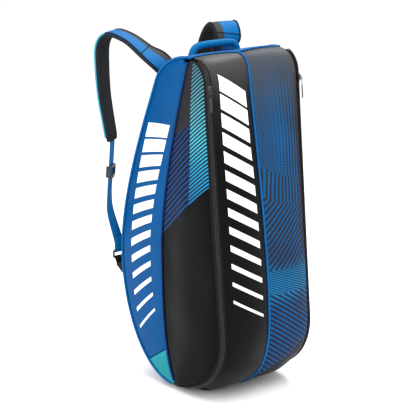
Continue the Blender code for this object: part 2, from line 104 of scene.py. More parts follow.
class Path:
    """A run of lines and Bezier curves that is read by its share of length."""

    def __init__(self, *segments, steps=60):
        self.points = [segments[0][0]]
        for segment in segments:
            for k in range(1, steps + 1):
                t = k / steps
                self.points.append(mix(*segment, t) if len(segment) == 2 else bezier(segment, t))
        self.length = [0.0]
        for a, b in zip(self.points, self.points[1:]):
            self.length.append(self.length[-1] + math.dist(a, b))

    def at(self, share):
        want = min(1.0, max(0.0, share)) * self.length[-1]
        low, high = 0, len(self.length) - 1
        while high - low > 1:
            middle = (low + high) // 2
            if self.length[middle] < want:
                low = middle
            else:
                high = middle
        a, b = self.length[low], self.length[high]
        return mix(self.points[low], self.points[high], (want - a) / (b - a))

    def normal(self, share):
        a, b = self.at(share - 0.004), self.at(share + 0.004)
        d = math.dist(a, b)
        return (-(b[1] - a[1]) / d, (b[0] - a[0]) / d)

    def share_where(self, test):
        for point, length in zip(self.points, self.length):
            if test(point):
                return length / self.length[-1]
        return 1.0


def catmull(points, count):
    """Evenly counted points on a smooth curve through the given ones."""
    ends = [[2 * a - b for a, b in zip(points[0], points[1])], [2 * a - b for a, b in zip(points[-1], points[-2])]]
    p = [ends[0], *points, ends[1]]
    out = []
    for k in range(count):
        x = k / (count - 1) * (len(points) - 1)
        i = min(int(x), len(points) - 2)
        t = x - i
        a, b, c, d = p[i : i + 4]
        out.append(
            Vector(
                0.5 * (2 * b[j] + (c[j] - a[j]) * t + (2 * a[j] - 5 * b[j] + 4 * c[j] - d[j]) * t * t
                       + (3 * b[j] - a[j] - 3 * c[j] + d[j]) * t**3)
                for j in range(len(b))
            )
        )
    return out


RUN = Vector((0, ZIP_BOTTOM[0] - ZIP_TOP[0], ZIP_BOTTOM[1] - ZIP_TOP[1])).normalized()
ZIP = Path(
    (RIM, (-0.085, 0.749), (ZIP_TOP[0] - RUN.y * 0.033, ZIP_TOP[1] - RUN.z * 0.033), ZIP_TOP),
    (ZIP_TOP, ZIP_BOTTOM),
    (ZIP_BOTTOM, (ZIP_BOTTOM[0] + RUN.y * 0.075, ZIP_BOTTOM[1] + RUN.z * 0.075), (-0.115, 0.020), TIP),
)
HINGE = Path(
    ((-0.051, 0.745), (-0.030, 0.652), (0.033, 0.452), (0.033, 0.312)),
    ((0.033, 0.312), (0.033, 0.212), (0.034, 0.067), TIP),
)
BACK = Path(
    (RIM, (-0.020, 0.749), (0.040, 0.729), BACK_TOP),
    (BACK_TOP, (0.088, 0.612), (0.184, 0.422), BACK_WIDEST),
    (BACK_WIDEST, (0.184, 0.162), (0.124, 0.0100), TIP),
)
FRONT_END = ZIP.share_where(lambda p: p[0] > BASE_FRONT and p[1] < 0.1)
BACK_END = BACK.share_where(lambda p: p[0] < BASE_BACK and p[1] < 0.1)
CENTRE = Path(
    ((-0.059, 0.746), (-0.078, 0.746), (-0.092, 0.736), (-0.096, 0.713)),
    ((-0.096, 0.713), (-0.114, 0.592), (-0.162, 0.342), (-0.166, 0.182)),
    ((-0.166, 0.182), (-0.168, 0.102), (-0.145, 0.036), (BASE_FRONT, 0.006)),
)


def half(y):
    """Half the carcass's width at depth y."""
    return HALF_FRONT + (HALF_BACK - HALF_FRONT) * smooth(y / 0.10)


def across(s, flat):
    """How far a panel's line has come from its middle, 0, to its corner, 1."""
    return (1 - flat) * abs(s) ** 1.6 + flat * smooth((abs(s) - 0.6) / 0.4)


def lobe(s):
    """The swelling of each compartment between the middle seam and the corner."""
    return max(0.0, math.sin(math.pi * min(1.0, abs(s)))) ** 0.8


def swelling(u):
    return FRONT_LOBE * (0.35 + 0.65 * smooth(u / 0.10))


def front_point(u, s):
    """A point of the front face: u down it, s from the left corner, -1, to the right, 1."""
    corner, middle = ZIP.at(u), CENTRE.at(u / FRONT_END)
    fade = 1 - smooth((u - 0.80) / (FRONT_END - 0.80))
    y, z = mix(middle, corner, across(s, 1 - fade))
    ny, nz = CENTRE.normal(u / FRONT_END)
    push = -swelling(u) * fade * lobe(s)
    return Vector((s * half(corner[0]), y + ny * push, z + nz * push))


def back_point(u, s):
    """A point of the top and back, laid out as the front is."""
    corner = BACK.at(u)
    ny, nz = BACK.normal(u)
    low = smooth((u - 0.78) / (BACK_END - 0.78))
    crown = (BACK_CROWN + (0.018 - BACK_CROWN) * low) * smooth((u - 0.07) / 0.12)
    over = 1 - smooth(u / 0.08)
    rise = crown * (1 - across(s, 1.0)) + over * swelling(0) * lobe(s)
    return Vector((s * half(corner[0]), corner[0] + ny * rise, corner[1] + nz * rise))


def base_point(t, s):
    if t < 0.5:
        corner = ZIP.at(FRONT_END + (1 - FRONT_END) * 2 * t)
    else:
        corner = BACK.at(1 - (1 - BACK_END) * (2 * t - 1))
    lift = 0.006 * smooth((abs(corner[0]) - 0.050) / 0.020)
    y, z = mix((corner[0], lift), corner, across(s, 1.0))
    return Vector((s * half(corner[0]), y, z))


def door_point(u, v, side):
    """A point of a side cover: u down it, v from the zip to its seam."""
    a, b = ZIP.at(u), HINGE.at(u)
    y, z = mix(a, b, v)
    swell = max(0.0, math.sin(math.pi * min(1.0, max(0.0, u)))) ** 0.5
    bow = (1 - abs(1 - v / 0.45) ** 2.2) ** 0.6 if v < 0.45 else 0.5 + 0.5 * math.cos(math.pi * (v - 0.45) / 0.55)
    x = half(a[0]) + 0.010 * swell * v + DOOR_BULGE * swell * bow
    return Vector((side * x, y, z))


def side_point(u, v, side):
    """A point of the panel behind a cover: v from the cover's seam to the back."""
    a, b = HINGE.at(u), BACK.at(u)
    y, z = mix(a, b, v)
    swell = max(0.0, math.sin(math.pi * min(1.0, max(0.0, u)))) ** 0.5
    x = (half(ZIP.at(u)[0]) + 0.010 * swell) * (1 - v) + half(b[0]) * v + SIDE_BULGE * swell * math.sin(math.pi * v)
    return Vector((side * x, y, z))


# ---------------------------------------------------------------- materials
BANDS = 0.314  # a wave texture of this scale has its bands 1 m apart


def linear(hexa):
    """An sRGB hex colour as linear RGBA."""
    out = []
    for k in (1, 3, 5):
        c = int(hexa[k : k + 2], 16) / 255
        out.append(c / 12.92 if c <= 0.04045 else ((c + 0.055) / 1.055) ** 2.4)
    return (*out, 1.0)


def plug(node, sockets):
    """Links a node's inputs from outputs, or sets them where the value is a constant."""
    for key, value in sockets.items():
        if isinstance(value, bpy.types.NodeSocket):
            node.id_data.links.new(value, node.inputs[key])
        else:
            node.inputs[key].default_value = value


def add(tree, kind, sockets=None, out=0, **settings):
    """Adds a node with its settings and what its inputs are plugged with; gives its output `out`."""
    made = tree.nodes.new("ShaderNode" + kind)
    for key, value in settings.items():
        setattr(made, key, value)
    plug(made, sockets or {})
    return made.outputs[out]


def start(name, **shader):
    """A material with its Principled shader's constants set; returns the material, its tree and the shader."""
    made = bpy.data.materials.new(name)
    made.use_nodes = True
    tree = made.node_tree
    principled = tree.nodes["Principled BSDF"]
    for key, value in shader.items():
        principled.inputs[key.replace("_", " ").title().replace("Ior", "IOR")].default_value = value
    return made, tree, principled


def ramp(output, stops):
    """Sets the stops of the colour ramp that `output` comes from: (place, hex colour)."""
    band = output.node.color_ramp
    while len(band.elements) > len(stops):
        band.elements.remove(band.elements[-1])
    while len(band.elements) < len(stops):
        band.elements.new(1.0)
    for element, (place, colour) in zip(band.elements, stops):
        element.position = place
        element.color = linear(colour)
    return output


def at_rest(tree):
    """Where a point of the cloth is on the closed bag, so that a print stays put when the cloth bends."""
    return add(tree, "Attribute", attribute_name="rest", out="Vector")


def weave(tree, principled, pitch, depth, colour, spread, noise_size=0.05, stitches=True):
    """Plain weave with thread pitch in metres on the piece's UV map, soft mottling, and stitching along its seams."""
    uv = add(tree, "UVMap", uv_map="cut")
    warp = add(tree, "TexWave", {"Vector": uv, "Scale": BANDS / pitch}, out="Fac", bands_direction="X")
    weft = add(tree, "TexWave", {"Vector": uv, "Scale": BANDS / pitch}, out="Fac", bands_direction="Y")
    cloth = add(tree, "Math", {0: warp, 1: weft}, operation="MULTIPLY")
    place = at_rest(tree)
    mottle = add(tree, "TexNoise", {"Vector": place, "Scale": 1 / noise_size, "Detail": 3.0})
    shade = add(tree, "MapRange", {"Value": mottle, 1: 0.3, 2: 0.7, 3: 1 - spread, 4: 1 + spread})
    # painted shade between the threads: the colour is darker where the weave is low and lighter on its crossings
    thread_shade = add(tree, "MapRange", {"Value": cloth, 1: 0.0, 2: 1.0, 3: 0.90, 4: 1.06})
    value = add(tree, "Math", {0: shade, 1: thread_shade}, operation="MULTIPLY")
    tint = add(tree, "HueSaturation", {"Value": value, "Color": colour})
    height = add(tree, "Math", {0: cloth, 1: depth}, operation="MULTIPLY")
    if stitches:
        edge = add(tree, "Attribute", attribute_name="edge", out="Fac")
        run = add(tree, "Attribute", attribute_name="run", out="Fac")
        near = add(tree, "Math", {0: edge, 1: 0.0055, 2: 0.0007}, operation="COMPARE")
        dash = add(tree, "Math", {0: run, 1: 0.0045}, operation="FLOORED_MODULO")
        on = add(tree, "Math", {0: dash, 1: 0.0032}, operation="LESS_THAN")
        thread = add(tree, "Math", {0: near, 1: on}, operation="MULTIPLY")
        groove = add(tree, "MapRange", {"Value": thread, 3: 0.0, 4: 0.0004})
        height = add(tree, "Math", {0: height, 1: groove}, operation="ADD")
        lighter = add(tree, "HueSaturation", {"Value": 1.5, "Color": tint})
        tint = add(tree, "Mix", {0: thread, 6: tint, 7: lighter}, data_type="RGBA", out=2)
    bump = add(tree, "Bump", {"Height": height, "Strength": 0.7, "Distance": 1.0})
    plug(principled, {"Base Color": tint, "Normal": bump})


def bars(tree, ink, cloth, first, last, reach, pitch=0.037, slope=0.55, thick=(0.86, 0.16)):
    """White slanted bars that thin out down the panel, printed between `first` and `last` metres along it."""
    uv = add(tree, "UVMap", uv_map="cut")
    split = add(tree, "SeparateXYZ", {0: uv})
    x, y = split, split.node.outputs[1]
    lean = add(tree, "Math", {0: x, 1: slope, 2: y}, operation="MULTIPLY_ADD")
    down = add(tree, "Math", {0: lean, 1: first}, operation="SUBTRACT")
    turn = add(tree, "Math", {0: down, 1: pitch}, operation="DIVIDE")
    part = add(tree, "Math", {0: turn}, operation="FRACT")
    count = round((last - first) / pitch)
    step = add(tree, "Math", {0: turn}, operation="FLOOR")
    width = add(tree, "MapRange", {"Value": step, 1: 0.0, 2: float(count - 1), 3: thick[0], 4: thick[1]})
    inked = add(tree, "Math", {0: part, 1: width}, operation="LESS_THAN")
    after = add(tree, "Math", {0: step, 1: -0.5}, operation="GREATER_THAN")
    before = add(tree, "Math", {0: step, 1: count - 0.5}, operation="LESS_THAN")
    side = add(tree, "Math", {0: x}, operation="ABSOLUTE")
    inside = add(tree, "Math", {0: side, 1: reach}, operation="LESS_THAN")
    one = add(tree, "Math", {0: inked, 1: inside}, operation="MULTIPLY")
    two = add(tree, "Math", {0: after, 1: before}, operation="MULTIPLY")
    mask = add(tree, "Math", {0: one, 1: two}, operation="MULTIPLY")
    return add(tree, "Mix", {0: mask, 6: cloth, 7: ink}, data_type="RGBA", out=2)


def grain(tree, principled, colour, size, depth):
    """Pressed leather-like grain of a coated cloth."""
    place = at_rest(tree)
    cells = add(tree, "TexVoronoi", {"Vector": place, "Scale": 1 / size}, feature="DISTANCE_TO_EDGE")
    fold = add(tree, "TexNoise", {"Vector": place, "Scale": 9.0, "Detail": 2.0})
    low = add(tree, "MapRange", {"Value": cells, 1: 0.0, 2: 0.35, 3: 0.0, 4: depth})
    rough = add(tree, "MapRange", {"Value": fold, 1: 0.3, 2: 0.7, 3: 0.30, 4: 0.42})
    bump = add(tree, "Bump", {"Height": low, "Strength": 0.6, "Distance": 1.0})
    plug(principled, {"Roughness": rough, "Normal": bump, "Base Color": colour})


def blue_polyester(name="coated_polyester_blue", printed=False):
    """Coated 600-denier polyester, royal blue: a satin skin over a plain weave, which is drawn at 1.6 mm to show."""
    made, tree, shader = start(name, roughness=0.44, specular_ior_level=0.05)
    colour = linear("#00487E")
    cloth = colour
    if printed:
        white = linear("#F0F2F4")
        cloth = bars(tree, white, cloth, 0.165, 0.165 + 0.038 * 13, 0.036, pitch=0.038, slope=-0.45)
    weave(tree, shader, 0.0016, 0.00008, cloth, 0.07)
    return made


def black_coated(name="polyurethane_coated_black", printed=False):
    """Polyurethane-coated cloth, black, pressed with a 1.4 mm grain: soft wide highlights."""
    made, tree, shader = start(name, roughness=0.34, specular_ior_level=0.06)
    shadow = linear("#070909")
    cloth = shadow
    if printed:
        height = add(tree, "SeparateXYZ", {0: at_rest(tree)}, out=2)
        # painted highlight: the cloth is painted lighter grey towards the top, where the light falls on it
        cloth = ramp(add(tree, "ValToRGB", {0: height}),
                     [(0.55, "#070909"), (0.66, "#161717"), (0.715, "#373736"), (0.75, "#41413F")])
        white = linear("#F2F3F4")
        cloth = bars(tree, white, cloth, 0.085, 0.085 + 0.040 * 13, 0.040, pitch=0.040, slope=0.45)
    grain(tree, shader, cloth, 0.0014, 0.00012)
    return made


def stripes(tree, place, axis, degrees, pitch, share, wander=0.0, spread=3.0):
    """Parallel lines on a panel: turned about `axis` by `degrees`, `pitch` metres apart, `share` of it inked."""
    turn = [0.0, 0.0, 0.0]
    turn["XYZ".index(axis)] = math.radians(degrees)
    laid = add(tree, "Mapping", {0: place, 2: turn})
    wave = add(tree, "TexWave", {"Vector": laid, "Scale": BANDS / pitch, "Distortion": wander, "Detail": 0.0,
                                 "Detail Scale": spread}, bands_direction="Z", out="Fac")
    return add(tree, "MapRange", {"Value": wave, 1: 0.94 - share, 2: 1.06 - share})


def beyond(tree, value, limit, soft=0.0006):
    """1 where value is over limit, with an edge as soft as a printed one."""
    return add(tree, "MapRange", {"Value": value, 1: limit - soft, 2: limit + soft})


def front_print():
    """Polyester printed by heat transfer: blue hatching on charcoal, in zones that change down the panel."""
    made, tree, shader = start("transfer_printed_polyester_front", roughness=0.46, specular_ior_level=0.05)
    place = at_rest(tree)
    split = add(tree, "SeparateXYZ", {0: place})
    x, z = split, split.node.outputs[2]
    # fine falling lines 5 mm apart beside the seam, upright lines 9 mm apart nearer the zip, crossing into a mesh
    fine = stripes(tree, place, "Y", -38, 0.0052, 0.50, 1.0, 0.2)
    upright = stripes(tree, place, "Y", 90, 0.0090, 0.50, 3.0, 0.2)
    near = add(tree, "MapRange", {"Value": x, 1: 0.052, 2: 0.088, 3: 1.0, 4: 0.0})
    fine = add(tree, "Math", {0: fine, 1: near}, operation="MULTIPLY")
    far = add(tree, "MapRange", {"Value": x, 1: 0.022, 2: 0.058})
    upright = add(tree, "Math", {0: upright, 1: far}, operation="MULTIPLY")
    pattern = add(tree, "Math", {0: fine, 1: upright}, operation="MAXIMUM")
    level = add(tree, "Math", {0: x, 1: 0.35, 2: z}, operation="MULTIPLY_ADD")
    zones = (
        # wavy upright lines low beside the seam
        (0.505, stripes(tree, place, "Y", 86, 0.0098, 0.50, 5.0, 0.35)),
        # wide lines that climb to the right
        (0.445, stripes(tree, place, "Y", 44, 0.0096, 0.42, 7.0, 0.12)),
    )
    for height, line in zones:
        pattern = add(tree, "Mix", {0: beyond(tree, level, height), 2: line, 3: pattern}, data_type="FLOAT")
    # close level hatching 4.5 mm apart, then wide falling lines
    for height, line in (
        (0.283, stripes(tree, place, "Y", -22, 0.0050, 0.55, 2.0, 0.1)),
        (0.229, stripes(tree, place, "Y", -33, 0.0092, 0.46, 2.0, 0.15)),
    ):
        pattern = add(tree, "Mix", {0: beyond(tree, z, height), 2: line, 3: pattern}, data_type="FLOAT")
    foot = add(tree, "Math", {0: x, 1: -0.75, 2: z}, operation="MULTIPLY_ADD")
    pattern = add(tree, "Math", {0: pattern, 1: beyond(tree, foot, 0.028, 0.004)}, operation="MULTIPLY")
    rim = add(tree, "MapRange", {"Value": x, 1: 0.112, 2: 0.100})
    high = add(tree, "Math", {0: rim, 1: beyond(tree, z, 0.30, 0.03)}, operation="MULTIPLY")
    low = add(tree, "Math", {0: 1.0, 1: beyond(tree, z, 0.30, 0.03)}, operation="SUBTRACT")
    kept = add(tree, "Math", {0: high, 1: low}, operation="ADD")
    ends = ramp(add(tree, "ValToRGB", {0: z}),
                [(0.58, "#FFFFFF"), (0.66, "#D0D0D0"), (0.72, "#8A8A8A"), (0.75, "#555555")])
    cloud = add(tree, "TexNoise", {"Vector": place, "Scale": 8.0, "Detail": 1.0})
    strength = add(tree, "MapRange", {"Value": cloud, 1: 0.36, 2: 0.50, 3: 0.62, 4: 1.0})
    shown = add(tree, "Math", {0: pattern, 1: strength}, operation="MULTIPLY")
    shown = add(tree, "Math", {0: shown, 1: ends}, operation="MULTIPLY")
    shown = add(tree, "Math", {0: shown, 1: kept}, operation="MULTIPLY")
    ground = ramp(add(tree, "ValToRGB", {0: z}),
                  [(0.0, "#1B1A24"), (0.20, "#232230"), (0.24, "#142C48"), (0.27, "#152F4C"), (0.30, "#26242C"),
                   (0.60, "#2B2A2E"), (0.74, "#454446")])
    ink = ramp(add(tree, "ValToRGB", {0: z}),
               [(0.0, "#0A4274"), (0.20, "#0A4A80"), (0.235, "#166E9C"), (0.275, "#146694"), (0.30, "#0A4A7C"),
                (0.60, "#0C5184"), (0.75, "#22567A")])
    cloth = add(tree, "Mix", {0: shown, 6: ground, 7: ink}, data_type="RGBA", out=2)
    weave(tree, shader, 0.0014, 0.00006, cloth, 0.06)
    return made


def door_print():
    """The same print on the side cover: bright hatching by the zip, navy stripes behind, coated black below."""
    made, tree, shader = start("transfer_printed_cover", roughness=0.36, specular_ior_level=0.05)
    place = at_rest(tree)
    split = add(tree, "SeparateXYZ", {0: place})
    y, z = split.node.outputs[1], split.node.outputs[2]
    close = stripes(tree, place, "X", 40, 0.0064, 0.50)
    wide = stripes(tree, place, "X", 40, 0.0096, 0.42)
    bright = ramp(add(tree, "ValToRGB", {0: z}),
                  [(0.0, "#0E5488"), (0.45, "#126A9C"), (0.52, "#2486AC"), (0.58, "#42A0B4"), (0.66, "#4A8A98"),
                   (0.72, "#42707C")])
    navy = ramp(add(tree, "ValToRGB", {0: z}), [(0.36, "#0E3468"), (0.46, "#0E386E"), (0.60, "#103262")])
    dark = linear("#0C1014")
    cyan = add(tree, "Mix", {0: close, 6: dark, 7: bright}, data_type="RGBA", out=2)
    blue = add(tree, "Mix", {0: wide, 6: dark, 7: navy}, data_type="RGBA", out=2)
    plain = linear("#222327")
    # the charcoal corner at the top ends on a line that falls towards the zip
    edge = add(tree, "Math", {0: y, 1: 0.55, 2: z}, operation="MULTIPLY_ADD")
    rear = add(tree, "Mix", {0: beyond(tree, edge, 0.570), 6: blue, 7: plain}, data_type="RGBA", out=2)
    # the bright band runs straight down beside the zip
    printed = add(tree, "Mix", {0: beyond(tree, y, -0.0715), 6: cyan, 7: rear}, data_type="RGBA", out=2)
    # plain below an edge that rises towards the zip
    rise = add(tree, "Math", {0: y, 1: 0.89, 2: z}, operation="MULTIPLY_ADD")
    black = linear("#070909")
    cloth = add(tree, "Mix", {0: beyond(tree, rise, 0.374), 6: black, 7: printed}, data_type="RGBA", out=2)
    grain(tree, shader, cloth, 0.0014, 0.0001)
    return made


def webbing_material(name, colour, pitch=0.0022):
    """Woven polyester webbing: cross ribs at 2.2 mm with a lengthwise twill between them."""
    made, tree, shader = start(name, roughness=0.62, specular_ior_level=0.08)
    shade = linear(colour)
    weave(tree, shader, pitch, 0.00025, shade, 0.06, 0.02, stitches=False)
    return made


def mesh_material(name, colour, cell=0.0032):
    """Knitted spacer mesh: rows of small round holes 3.2 mm apart in a soft dark knit."""
    made, tree, shader = start(name, roughness=0.85, specular_ior_level=0.06)
    place = at_rest(tree)
    holes = add(tree, "TexVoronoi", {"Vector": place, "Scale": 1 / cell, "Randomness": 0.25})
    depth = add(tree, "MapRange", {"Value": holes, 1: 0.18, 2: 0.42, 3: 0.0, 4: 0.0006})
    knit = linear(colour)
    # painted shade in the holes: they are drawn near black, where shade falls into the mesh
    dark = linear("#050506")
    shaded_holes = add(tree, "MapRange", {"Value": holes, 1: 0.20, 2: 0.36})
    cloth = add(tree, "Mix", {0: shaded_holes, 6: dark, 7: knit}, data_type="RGBA", out=2)
    bump = add(tree, "Bump", {"Height": depth, "Strength": 0.8, "Distance": 1.0})
    plug(shader, {"Base Color": cloth, "Normal": bump})
    return made


def plain_cloth(name, colour, rough, pitch, depth, stitches=False):
    """Coated plain-weave polyester in one colour: a dull skin with the threads just showing."""
    made, tree, shader = start(name, roughness=rough, specular_ior_level=0.10)
    shade = linear(colour)
    weave(tree, shader, pitch, depth, shade, 0.08, 0.03, stitches=stitches)
    return made


def hard(name, colour, rough, metallic=0.0, size=0.0012, depth=0.00003, mottle=0.03):
    """Moulded or cast piece: a faint skin texture, with its roughness and tone varying softly over it."""
    made, tree, shader = start(name, metallic=metallic)
    place = add(tree, "TexCoord", out="Object")
    skin = add(tree, "TexNoise", {"Vector": place, "Scale": 1 / size, "Detail": 2.0})
    low = add(tree, "Math", {0: skin, 1: depth}, operation="MULTIPLY")
    dull = add(tree, "MapRange", {"Value": skin, 1: 0.3, 2: 0.7, 3: rough - 0.05, 4: rough + 0.06})
    shade = linear(colour)
    patch = add(tree, "TexNoise", {"Vector": place, "Scale": 60.0})
    value = add(tree, "MapRange", {"Value": patch, 1: 0.3, 2: 0.7, 3: 1 - mottle, 4: 1 + mottle})
    tint = add(tree, "HueSaturation", {"Value": value, "Color": shade})
    bump = add(tree, "Bump", {"Height": low, "Strength": 0.6, "Distance": 1.0})
    plug(shader, {"Base Color": tint, "Roughness": dull, "Normal": bump})
    return made


def lining_material():
    """Nylon taffeta lining, grey, quilted in 30 mm diamonds over thin foam."""
    made, tree, shader = start("quilted_nylon_lining", roughness=0.55, sheen_weight=0.15)
    place = at_rest(tree)
    turned = add(tree, "Mapping", {0: place, 2: (math.radians(45), math.radians(30), 0.0)})
    one = add(tree, "TexWave", {"Vector": turned, "Scale": BANDS / 0.030}, bands_direction="Y", out="Fac")
    two = add(tree, "TexWave", {"Vector": turned, "Scale": BANDS / 0.030}, bands_direction="Z", out="Fac")
    puff = add(tree, "Math", {0: one, 1: two}, operation="MULTIPLY")
    soft = add(tree, "Math", {0: puff, 1: 0.35}, operation="POWER")
    height = add(tree, "Math", {0: soft, 1: 0.0012}, operation="MULTIPLY")
    # painted shade and light on the quilting: darker grey along the stitched grooves and lighter on the puffs
    tint = ramp(add(tree, "ValToRGB", {0: soft}), [(0.0, "#3C3E41"), (0.5, "#5A5D60"), (1.0, "#686B6E")])
    bump = add(tree, "Bump", {"Height": height, "Strength": 0.7, "Distance": 1.0})
    plug(shader, {"Base Color": tint, "Normal": bump})
    return made


def strap_face():
    """The strap's outer face: blue ripstop, and knitted charcoal mesh beyond a curved edge on one side."""
    made, tree, shader = start("ripstop_and_mesh_strap", roughness=0.6, specular_ior_level=0.08)
    uv = add(tree, "UVMap", uv_map="cut")
    split = add(tree, "SeparateXYZ", {0: uv})
    bend = add(tree, "Math", {0: split.node.outputs[1], 1: 11.0}, operation="MULTIPLY")
    wave = add(tree, "Math", {0: bend}, operation="SINE")
    limit = add(tree, "MapRange", {"Value": wave, 1: -1.0, 2: 1.0, 3: 0.002, 4: 0.013})
    inward = add(tree, "Math", {0: split, 1: -1.0}, operation="MULTIPLY")
    meshy = add(tree, "Math", {0: inward, 1: limit}, operation="GREATER_THAN")
    place = at_rest(tree)
    holes = add(tree, "TexVoronoi", {"Vector": place, "Scale": 1 / 0.0034, "Randomness": 0.25})
    # painted shade in the mesh's holes: the knit is drawn near black at their middles
    knit = ramp(add(tree, "ValToRGB", {0: holes}), [(0.0, "#0A0B0C"), (0.34, "#2E3033"), (0.6, "#3A3D40")])
    blue = linear("#005C96")
    grid = add(tree, "TexWave", {"Vector": uv, "Scale": BANDS / 0.006}, bands_direction="DIAGONAL", out="Fac")
    line = add(tree, "MapRange", {"Value": grid, 1: 0.9, 2: 1.0, 3: 1.0, 4: 1.14})
    shade = add(tree, "HueSaturation", {"Value": line, "Color": blue})
    cloth = add(tree, "Mix", {0: meshy, 6: shade, 7: knit}, data_type="RGBA", out=2)
    holed = add(tree, "Math", {0: holes, 1: meshy}, operation="MULTIPLY")
    low = add(tree, "Math", {0: holed, 1: 0.0006}, operation="MULTIPLY")
    bump = add(tree, "Bump", {"Height": low, "Strength": 0.7, "Distance": 1.0})
    plug(shader, {"Base Color": cloth, "Normal": bump})
    return made


BLUE = blue_polyester()
BLUE_PRINTED = blue_polyester("coated_polyester_blue_printed", printed=True)
BLACK_PRINTED = black_coated("polyurethane_coated_black_printed", printed=True)
FRONT_PRINT = front_print()
DOOR_PRINT = door_print()
TEAL = plain_cloth("coated_polyester_teal", "#18868F", 0.5, 0.0016, 0.00008, stitches=True)
PIPING = plain_cloth("cloth_covered_piping_blue", "#085A98", 0.5, 0.0012, 0.00006)
DARK_PIPING = plain_cloth("cloth_covered_piping_navy", "#0E3468", 0.5, 0.0012, 0.00006)
WEBBING = webbing_material("polyester_webbing_blue", "#00629A")
BLACK_WEBBING = webbing_material("polyester_webbing_black", "#161719")
TAPE = webbing_material("woven_zip_tape_black", "#121315", 0.0014)
COIL = hard("nylon_zip_coil_bronze_black", "#1E1A18", 0.42)
ACETAL = hard("moulded_acetal_black", "#141516", 0.36)
ZINC = hard("painted_zinc_slider_black", "#3A3C3F", 0.28, metallic=0.85)
RUBBER = hard("moulded_rubber_pull_black", "#1A1B1C", 0.6)
MESH = mesh_material("knitted_spacer_mesh_black", "#232527")
STRAP = strap_face()
BINDING = webbing_material("woven_binding_teal", "#3E9FB0", 0.0018)
BASE = black_coated("rubberised_base_black")
LINING = lining_material()
FLOOR, _, paper = start("matt_paper_sweep", roughness=0.9, specular_ior_level=0.1)
paper.inputs["Base Color"].default_value = linear("#FFFFFF")


# ---------------------------------------------------------------- building helpers
CRISP = math.radians(40)  # edges of moulded and cast pieces sharper than this are shaded crisp


def finish_mesh(name, bm, materials, smooth_shade=True):
    """Turns bm into a piece, and keeps where each point is on the closed bag as "rest" for the prints."""
    mesh = bpy.data.meshes.new(name)
    bm.to_mesh(mesh)
    bm.free()
    rest = mesh.attributes.new("rest", "FLOAT_VECTOR", "POINT")
    rest.data.foreach_set("vector", [c for v in mesh.vertices for c in v.co])
    for material in materials:
        mesh.materials.append(material)
    if smooth_shade:
        mesh.shade_smooth()
    obj = bpy.data.objects.new(name, mesh)
    bpy.context.scene.collection.objects.link(obj)
    return obj


def settle(obj, slot, body, *nodes):
    """Hides the solids that a piece stands for and hangs it on the body it rides; a blended piece has no body here.
    The slot argument is not used.
    """
    if nodes:
        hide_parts(*nodes)
    if body:
        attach(obj, body)
    return obj


def subdivide(obj, level):
    soft = obj.modifiers.new("soft", "SUBSURF")
    soft.levels = soft.render_levels = level


def relief(p, edge, run, tuck, pucker, dent):
    """How far a sewn panel's skin stands from its pattern surface at a point."""
    ripple = math.sin(run * 2 * math.pi / 0.021 + 5 * noise.noise(p * 9)) * math.exp(-edge / 0.011)
    wide = noise.noise(p * 5.5) + 0.5 * noise.noise(p * 13 + Vector((7, 0, 0)))
    return (-tuck * (1 - smooth(edge / 0.010)) + pucker * ripple * (0.4 + abs(noise.noise(p * 7)))
            + dent * wide * smooth(edge / 0.04))


def panel(name, surface, cells, materials, body, nodes, slot, thickness=PANEL, tuck=0.0016, pucker=0.0007,
          dent=0.0022, inside=(0, 0, 0.35), creases=None, level=1):
    """A sewn panel: a grid laid on surface(a, b), pulled in at its seams, puckered and dented, with a lining."""
    bm = bmesh.new()
    cut = bm.loops.layers.uv.new("cut")
    edge_layer = bm.verts.layers.float.new("edge")
    run_layer = bm.verts.layers.float.new("run")
    bmesh.ops.create_grid(bm, x_segments=cells[0], y_segments=cells[1], size=1.0)
    rows = [[None] * (cells[0] + 1) for _ in range(cells[1] + 1)]
    for v in bm.verts:
        a, b = (v.co.x + 1) / 2, (v.co.y + 1) / 2
        rows[round(b * cells[1])][round(a * cells[0])] = v
        v.co = surface(a, b)
    wide = [[0.0] for _ in rows]
    for row, steps in zip(rows, wide):
        for left, right in zip(row, row[1:]):
            steps.append(steps[-1] + (left.co - right.co).length)
    long = [[0.0] for _ in rows[0]]
    for k, steps in enumerate(long):
        for up, down in zip(rows, rows[1:]):
            steps.append(steps[-1] + (up[k].co - down[k].co).length)
    place = {}
    middle = len(rows[0]) // 2
    for j, row in enumerate(rows):
        for i, v in enumerate(row):
            x = wide[j][i] - wide[j][-1] / 2
            y = long[middle][j]
            place[v] = (x, y)
            ends = min(long[i][j], long[i][-1] - long[i][j])
            sides = min(wide[j][i], wide[j][-1] - wide[j][i])
            v[edge_layer] = min(ends, sides)
            v[run_layer] = y if sides < ends else x
    for face in bm.faces:
        for loop in face.loops:
            loop[cut].uv = place[loop.vert]
    bm.normal_update()
    facing = sum(f.normal.dot(f.calc_center_median() - Vector(inside)) * f.calc_area() for f in bm.faces)
    if facing < 0:
        bmesh.ops.reverse_faces(bm, faces=bm.faces)
    bm.normal_update()
    moves = []
    for v in bm.verts:
        push = relief(v.co, v[edge_layer], v[run_layer], tuck, pucker, dent)
        if creases:
            push += creases(v.co, v[edge_layer])
        moves.append((v, v.normal * push))
    for v, move in moves:
        v.co += move
    obj = finish_mesh(name, bm, materials)
    if level:
        subdivide(obj, level)
    wall = obj.modifiers.new("wall", "SOLIDIFY")
    wall.thickness = thickness
    wall.offset = -1.0
    if len(materials) > 1:
        wall.material_offset = 1
        wall.material_offset_rim = 0
    return settle(obj, slot, body, *nodes)


